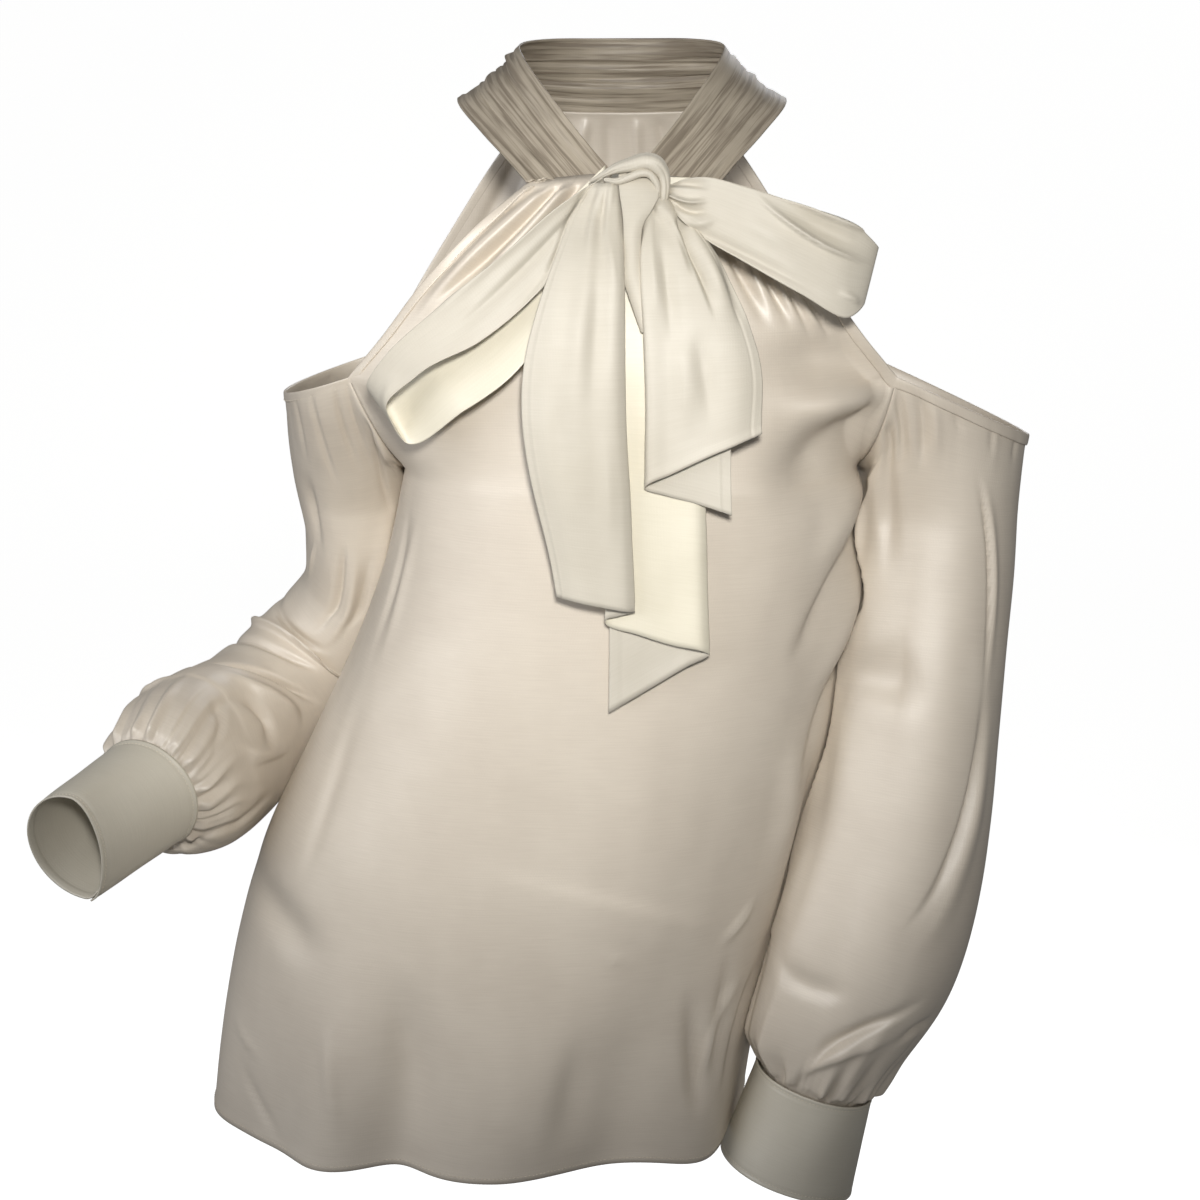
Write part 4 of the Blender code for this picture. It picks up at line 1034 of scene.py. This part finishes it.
body_silk = silk_charmeuse("silk_charmeuse", "#D7CDBE", "#C7BCAD", 0.47, 0.35, 0.04, 1.0)
cuff_silk = silk_charmeuse("interfaced_silk", "#D2CCBD", "#C3BCAC", 0.46, 0.25, 0.04, 0.8)
tie_silk = silk_charmeuse("silk_back_face", "#CCC6B9", "#BDB6A7", 0.58, 0.30, 0.06, 0.5)
# the satin face: glossier, and paler, with its sheen and the light on the bow's lit folds painted into its
# colour
tie_satin_painted_light = silk_charmeuse("silk_satin_face_painted_light", "#E4DECC", "#D6CFBA", 0.52, 0.30, 0.06, 0.7)
# its dark tone is laid in streaks along the band, as painted shade of the pleats
ruched_silk = silk_charmeuse("ruched_silk", "#BFB4A2", "#877C6D", 0.50, 0.20, 0.04, 0.5, 0.9)
thread = silk_charmeuse("silk_thread", "#E0D7C6", "#CEC3B0", 0.50, 0.10, 0.06, 0.5)


# --- pieces -----------------------------------------------------------------------------------------------


def hem_step(distance, height):
    """A narrow turned hem stands a little proud, with a groove at its stitches."""
    past = distance - HEM_WIDTH
    return height * (1 - ease((past + 0.0005) / 0.001) - 0.8 * bell(past, 0.0007))


def body_panel(face, columns, counts, creases, seed):
    """The worked grid of the front or back, hem to neckband."""
    points = panel_grid(face, columns, counts)
    if face == BACK:
        points = points[:, ::-1]
    normals = outward(points)
    heights = crease_heights(points[..., 0], points[..., 2], creases)
    heights += unevenness(points, BODY_RIPPLES, seed)
    # the folds fade into the hem, the neckband's seam and the side seams
    up_panel = lengths_of(points)[:, None]
    heights = heights * (0.55 + 0.45 * ease(up_panel / 0.02)) + hem_step(up_panel, HEM_HEIGHT)
    heights *= 0.15 + 0.85 * ease((up_panel[-1] - up_panel) / 0.009)
    from_side = 1 - abs(np.linspace(-1, 1, columns + 1))
    heights *= ease(from_side / 0.02) * (0.35 + 0.65 * ease(from_side / 0.12))
    # the last rows turn up and in, under the neckband
    up = points[-1] - points[-4]
    up /= np.linalg.norm(up, axis=1, keepdims=True)
    points = points + normals * heights[..., None]
    tuck = ((0.0015, 0.0012), (0.0060, 0.0030)) if face == FRONT else ((0.0010, 0.0003), (0.0025, 0.0004))
    under = [points[-1] + up * rise - normals[-1] * sink for rise, sink in tuck]
    return np.concatenate((points, under))


def laid_beside(points, body):
    """The inside of the left sleeve laid against the body's side, where the arm hangs by it."""
    side_z = body[: FRONT_ROWS[0], -1, 2]
    facing = ease((-np.cos(np.radians(ring_angles(points.shape[1]))) - 0.45) / 0.35)
    for i, row in enumerate(points):
        f = i / (len(points) - 1)
        share = ease((f - 0.03) / 0.07) * ease((0.99 - f) / 0.08)
        for j in np.flatnonzero(facing):
            x, y, z = row[j]
            level = body[np.abs(side_z - z).argmin(), body.shape[1] // 2 :]
            wall = np.interp(y, level[:, 1], level[:, 0]) + BESIDE
            row[j, 0] = x + np.clip(wall - x, -BESIDE_MOST, BESIDE_MOST) * facing[j] * share
    return points


def sleeve(rows, side, creases, seed):
    """The worked grid of a sleeve, from its open top to its end inside the cuff seam."""
    columns = SLEEVE_COLUMNS
    points = sleeve_grid(rows, side, columns, SLEEVE_ROWS)
    normals = outward(points, closed=True) * side
    lengths = lengths_of(points)
    scaled = dict(creases)
    for name in CREASE.split()[:6]:
        scaled[name] = creases[name] * (SLEEVE_ROUND if name[0] == "x" else lengths[-1] / MM / 100)
    x = np.broadcast_to(ring_angles(columns) * SLEEVE_ROUND * MM, points.shape[:2])
    z = np.broadcast_to(lengths[:, None], points.shape[:2])
    heights = crease_heights(x, z, scaled)
    heights += unevenness(points, SLEEVE_RIPPLES, seed)
    # broad gathers above the cuff, a few small ones under the binding, and fine ones at the cuff's edge
    to_cuff = lengths[-1] - lengths
    heights += gathers(columns, to_cuff, 30, seed, 0.010, 0.0034)
    heights += gathers(columns, lengths, 16, seed + 5, 0.008, 0.0006)
    heights *= (ease(lengths / 0.012) * (0.10 + 0.90 * ease(to_cuff / 0.009)))[:, None]
    fine = gathers(columns, to_cuff, 46, seed + 9, 0.0052, 0.0018)
    heights += fine * (0.4 + 0.6 * ease(to_cuff / 0.004))[:, None]
    heights -= (0.0022 * bell(to_cuff, 0.004))[:, None]
    points = points + normals * heights[..., None]
    if side == LEFT:
        points = laid_beside(points, front_grid)
    middle = points[-1].mean(axis=0)
    down = middle - points[-9].mean(axis=0)
    down /= np.linalg.norm(down)
    # the last rows lie inside the cuff
    tuck = ((0.955, 0.002), (0.93, 0.007))
    tucked = [middle + (points[-1] - middle) * grow + down * fall for grow, fall in tuck]
    return np.concatenate((points, tucked))


front_grid = body_panel(FRONT, FRONT_COLUMNS, FRONT_ROWS, FRONT_CREASES, 11)
back_grid = body_panel(BACK, BACK_COLUMNS, BACK_ROWS, BACK_CREASES, 23)
front = shell("front", front_grid, SILK, body_silk)
back = shell("back", back_grid, SILK, body_silk)
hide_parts("front")
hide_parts("back")

left_sleeve_grid = sleeve(LEFT_SLEEVE, LEFT, LEFT_SLEEVE_CREASES, 31)
right_sleeve_grid = sleeve(RIGHT_SLEEVE, RIGHT, RIGHT_SLEEVE_CREASES, 41)
left_sleeve = shell("left_sleeve", left_sleeve_grid, SILK, body_silk, closed=True)
right_sleeve = shell("right_sleeve", right_sleeve_grid, SILK, body_silk, closed=True, flip=True)
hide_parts("left_sleeve")
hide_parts("right_sleeve")


def cuff(name, rows, shape, side, seed):
    """An interfaced cuff and the lines of its topstitching."""
    points = cuff_grid(rows, shape, side, CUFF_COLUMNS, CUFF_ROWS)
    normals = outward(points) * side
    down = lengths_of(points)
    stitched = (CUFF_STITCHED, down[-1] - CUFF_STITCHED)
    for line in stitched:
        points = points - normals * (0.0007 * bell(down - line, 0.0008))[:, None, None]
    points = points + normals * (0.0006 * bell(down, 0.004))[:, None, None]
    points = points + normals * unevenness(points, CUFF_RIPPLES, seed, (1, 1, 1))[..., None]
    piece = shell(name, points, DOUBLE, cuff_silk, flip=side == RIGHT)
    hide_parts(name)
    lines = []
    for line in stitched:
        row = np.abs(down - line).argmin()
        lines.append((points[row], normals[row]))
    return piece, lines


left_cuff, left_cuff_lines = cuff("left_cuff", LEFT_SLEEVE, LEFT_CUFF, LEFT, 51)
right_cuff, right_cuff_lines = cuff("right_cuff", RIGHT_SLEEVE, RIGHT_CUFF, RIGHT, 53)
cuff_stitches = stitches("cuff_stitches", left_cuff_lines + right_cuff_lines, 0.0003)


def neckband():
    """The ruched band round the neck: long uneven pleats drawn along it."""
    points = neckband_grid(NECKBAND_COLUMNS, NECKBAND_ROWS)
    normals = outward(points)
    along_band = np.linspace(0, 1, NECKBAND_COLUMNS + 1)
    across = np.linspace(0, 1, NECKBAND_ROWS + 1)[:, None]
    draw = random.Random(61)
    heights = np.zeros(points.shape[:2])
    for _ in range(NECKBAND_PLEATS):
        middle, start = draw.uniform(0.04, 0.96), draw.uniform(-0.1, 0.95)
        long, slant = draw.uniform(0.10, 0.32), draw.uniform(-0.28, 0.28)
        wide, tall = draw.uniform(0.016, 0.036), draw.uniform(0.4, 1.0) * draw.choice((0.0014, -0.0022))
        line = middle + slant * (along_band - start)
        fade = bell(along_band - start - long / 2, long * 0.6)
        heights += tall * fade * bell(across - line, wide)
    heights *= ease(across / 0.06) * ease((1 - across) / 0.06)
    return shell("neckband", points + normals * heights[..., None], DOUBLE, ruched_silk)


neck = neckband()
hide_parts("neckband")


def shoulder_edge(points, counts, edge, inside):
    """A panel's points up its open shoulder, in columns edge and inside, and the normals at its edge."""
    start = counts[0] + counts[1]
    return points[start:, edge], points[start:, inside], outward(points)[start:, edge]


def binding(name, side, sleeve_points):
    """The narrow binding: down the front edge, over the sleeve's top, and up the back edge."""
    first, last = (0, 3), (-1, -4)
    front_edge = shoulder_edge(front_grid, FRONT_ROWS, *(last if side == LEFT else first))
    edge_f, inside_f, normal_f = (a[::-1] for a in front_edge)
    back_edge = shoulder_edge(back_grid, BACK_ROWS, *(first if side == LEFT else last))
    edge_b, inside_b, normal_b = back_edge
    columns = sleeve_points.shape[1]
    corner = round(columns * (180 - OPEN_TURN) / 360)
    top = np.arange(columns - corner, corner - 1, -1)
    normal_s = (outward(sleeve_points, closed=True) * side)[0, top]
    edge = np.concatenate((edge_f, sleeve_points[0, top], edge_b))
    inside = np.concatenate((inside_f, sleeve_points[6, top], inside_b))
    normals = np.concatenate((normal_f, normal_s, normal_b))
    for _ in range(3):
        normals[1:-1] = (normals[:-2] + normals[1:-1] + normals[2:]) / 3
        inside[1:-1] = (inside[:-2] + inside[1:-1] + inside[2:]) / 3
    normals /= np.linalg.norm(normals, axis=1, keepdims=True)
    into = (inside - edge) / np.linalg.norm(inside - edge, axis=1, keepdims=True)
    piece = band(name, edge, into, normals)
    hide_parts(name)
    line = edge + into * (BINDING_WIDTH - 0.0011) + normals * 0.0008
    return piece, (line, normals)


left_binding, left_line = binding("left_binding", LEFT, left_sleeve_grid)
right_binding, right_line = binding("right_binding", RIGHT, right_sleeve_grid)

hem_lines = []
for grid in (front_grid, back_grid):
    row = np.abs(lengths_of(grid) - HEM_WIDTH).argmin()
    normals = outward(grid)[row]
    hem_lines.append((grid[row] + normals * 0.0001, normals))
seam_stitches = stitches("seam_stitches", [left_line, right_line] + hem_lines)


def ribbon(name, points, creases, near, seed, hems, satin=(1, 1)):
    """A strip of the tie with its folds, narrow hems standing proud along the rows or columns in hems.

    Satin gives the share of its columns, from and to, whose satin face is turned out: glossier, and in a
    paler colour that is painted light.
    """
    normals = outward(points)
    heights = crease_heights(points[..., 0], points[..., 2], creases) * near
    heights += unevenness(points, TIE_RIPPLES, seed, (1, 1, 0.6))
    down = lengths_of(points)[:, None]
    if "end" in hems:
        heights = heights + hem_step(down[-1] - down, TIE_HEM_HEIGHT)
    across = np.append(0, np.cumsum(np.linalg.norm(np.diff(points[len(points) // 2], axis=0), axis=1)))
    if "sides" in hems:
        heights = heights + hem_step(np.minimum(across, across[-1] - across), TIE_HEM_HEIGHT)
    piece = shell(name, points + normals * heights[..., None], SILK, tie_silk)
    # the satin face's columns take the paler colour, which is painted light
    piece.data.materials.append(tie_satin_painted_light)
    columns = points.shape[1] - 1
    turned = (np.arange(columns) >= satin[0] * columns) & (np.arange(columns) < satin[1] * columns)
    piece.data.polygons.foreach_set("material_index", np.tile(turned, len(points) - 1).astype(np.int32))
    return piece


def loop(name, rows, creases, seed):
    """A loop of the bow, folded on its way out; its way back is plain."""
    points = loop_grid(rows, LOOP_COLUMNS, LOOP_ROWS)
    near = ease((0.56 - np.linspace(0, 1, LOOP_COLUMNS + 1)) / 0.1)
    piece = ribbon(name, points, creases, -near, seed, (), (0.52, 1))
    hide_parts(name)
    return piece


def tail(name, rows, creases, layer, seed, satin=(1, 1)):
    """A tail of the bow; layer is the share of its width in the front layer, which the folds are on."""
    points = tail_grid(rows, TAIL_COLUMNS, TAIL_ROWS)
    near = ease((layer - np.linspace(0, 1, TAIL_COLUMNS + 1)) / 0.05)
    piece = ribbon(name, points, creases, near, seed, ("end", "sides"), satin)
    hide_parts(name)
    return piece


right_loop = loop("right_loop", RIGHT_LOOP, RIGHT_LOOP_CREASES, 71)
left_loop = loop("left_loop", LEFT_LOOP, LEFT_LOOP_CREASES, 73)
right_tail = tail("right_tail", RIGHT_TAIL, RIGHT_TAIL_CREASES, 0.30, 75, (0.43, 0.74))
left_tail = tail("left_tail", LEFT_TAIL, LEFT_TAIL_CREASES, 0.60, 77)


def knot_roll(name, rows, pleats, depth, seed):
    """A roll of the tie drawn round the knot, pleated along it; depth is a multiple of its half-width."""
    draw = random.Random(seed)
    fs = np.linspace(0, 1, KNOT_RINGS)
    path = smooth(np.linspace(0, 1, len(rows["x"])), columns_of(rows, "x y z half"), fs)
    middle, half = path[:, :3], path[:, 3:]
    ahead = np.gradient(middle, axis=0)
    ahead /= np.linalg.norm(ahead, axis=1, keepdims=True)
    side = np.cross(ahead, (0, -1.0, 0))
    side /= np.linalg.norm(side, axis=1, keepdims=True)
    fore = np.cross(side, ahead)
    turn = np.linspace(0, 2 * math.pi, KNOT_SIDES + 1)[:-1]
    radius = np.ones((len(fs), len(turn)))
    for i in range(pleats):
        at = 2 * math.pi * (i + draw.uniform(-0.3, 0.3)) / pleats
        twist = draw.uniform(0.3, 1.6)
        off = (turn[None] - at - twist * fs[:, None] + math.pi) % (2 * math.pi) - math.pi
        deep = draw.uniform(0.10, 0.26)
        radius -= deep * bell(off, 0.17) * (0.6 + 0.4 * np.sin(fs * 9 + i))[:, None]
    points = (
        middle[:, None]
        + side[:, None] * (radius * np.cos(turn) * half)[..., None]
        + fore[:, None] * (radius * np.sin(turn) * half * depth)[..., None]
    )
    return shell(name, points, 0, tie_silk, closed=True)


knot_over = knot_roll("knot_over", KNOT_ROLL, 6, 1.35, 81)
knot_fold = knot_roll("knot_fold", KNOT_FOLD, 4, 1.25, 82)
knot_under = knot_roll("knot_under", KNOT_CORE, 7, 2.1, 83)
tongue = ribbon("tie_tongue", tongue_grid(TONGUE_COLUMNS, TONGUE_ROWS), RIGHT_TAIL_CREASES, 0.0, 84, ())
knot = [knot_over, knot_under, knot_fold, tongue]
for piece in knot:
    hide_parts("bow_knot")


# --- studio -----------------------------------------------------------------------------------------------

FLOOR_Z = -1.40  # where the wearer would stand
FLOOR_RADIUS, SWEEP_RADIUS, WALL_HEIGHT = 5.0, 1.5, 3.5


def sweep():
    """A pale floor that curves up all round into a low wall."""
    profile = [(r, 0.0) for r in np.linspace(0.001, FLOOR_RADIUS, 12)]
    for turn in np.radians(np.arange(10, 91, 10)):
        across, rise = SWEEP_RADIUS * math.sin(turn), SWEEP_RADIUS * (1 - math.cos(turn))
        profile.append((FLOOR_RADIUS + across, rise))
    profile.append((FLOOR_RADIUS + SWEEP_RADIUS, WALL_HEIGHT))
    around = np.radians(np.arange(0, 360, 5))
    points = [(r * math.cos(a), r * math.sin(a), FLOOR_Z + h) for r, h in profile for a in around]
    index = wrap(np.arange(len(points)).reshape(len(profile), len(around)))
    faces = corners_of(index).reshape(-1, 4)[:, ::-1].tolist()
    floor = new_object("floor", new_mesh("floor", points, faces, lit_acrylic("lit_acrylic")))
    # unseen by these rays, so that its glow doesn't flatten the folds
    floor.visible_diffuse = False
    floor.visible_glossy = False


def lamp(name, kind, place, aim, watts, colour, shape):
    """A light aimed at a point of the blouse; shape holds the settings of its own kind."""
    light = bpy.data.lights.new(name, kind)
    for setting, value in shape.items():
        setattr(light, setting, value)
    light.energy = watts
    light.color = linear(colour)[:3]
    head = new_object(name, light)
    head.location = place
    head.rotation_euler = (Vector(aim) - Vector(place)).to_track_quat("-Z", "Y").to_euler()


sweep()
# a flash head with a small soft dish: its pool of light fades towards the hem and the hands
DISH = {"spot_size": math.radians(43), "spot_blend": 1.0, "shadow_soft_size": 0.06}
SOFT_BOX = {"shape": "DISK", "size": 1.2}
lamp("key", "SPOT", (0.02, -1.16, 0.08), (-0.03, -0.10, -0.25), 49.0, "#FFFDF9", DISH)
lamp("side_fill", "AREA", (-1.3, -1.0, 0.1), (0.0, 0.0, -0.40), 10.0, "#F8FAFF", SOFT_BOX)
lamp("back_fill", "AREA", (0.5, 1.5, 0.6), (0.0, 0.0, -0.3), 12.0, "#FAFBFF", SOFT_BOX)

world = bpy.data.worlds.new("studio")
bpy.context.scene.world = world
world.use_nodes = True
background = world.node_tree.nodes["Background"]
background.inputs["Color"].default_value = linear("#FFFFFF")
background.inputs["Strength"].default_value = 0.15

lens = bpy.data.cameras.new("camera")
lens.sensor_width = 36
lens.lens = 57.0
camera = new_object("camera", lens)
camera.location = (-0.0128, -1.15, -0.067)
camera.rotation_euler = (math.radians(90 - 13), 0, 0)  # looking 13 degrees down
bpy.context.scene.camera = camera
bpy.context.scene.view_settings.view_transform = "Standard"
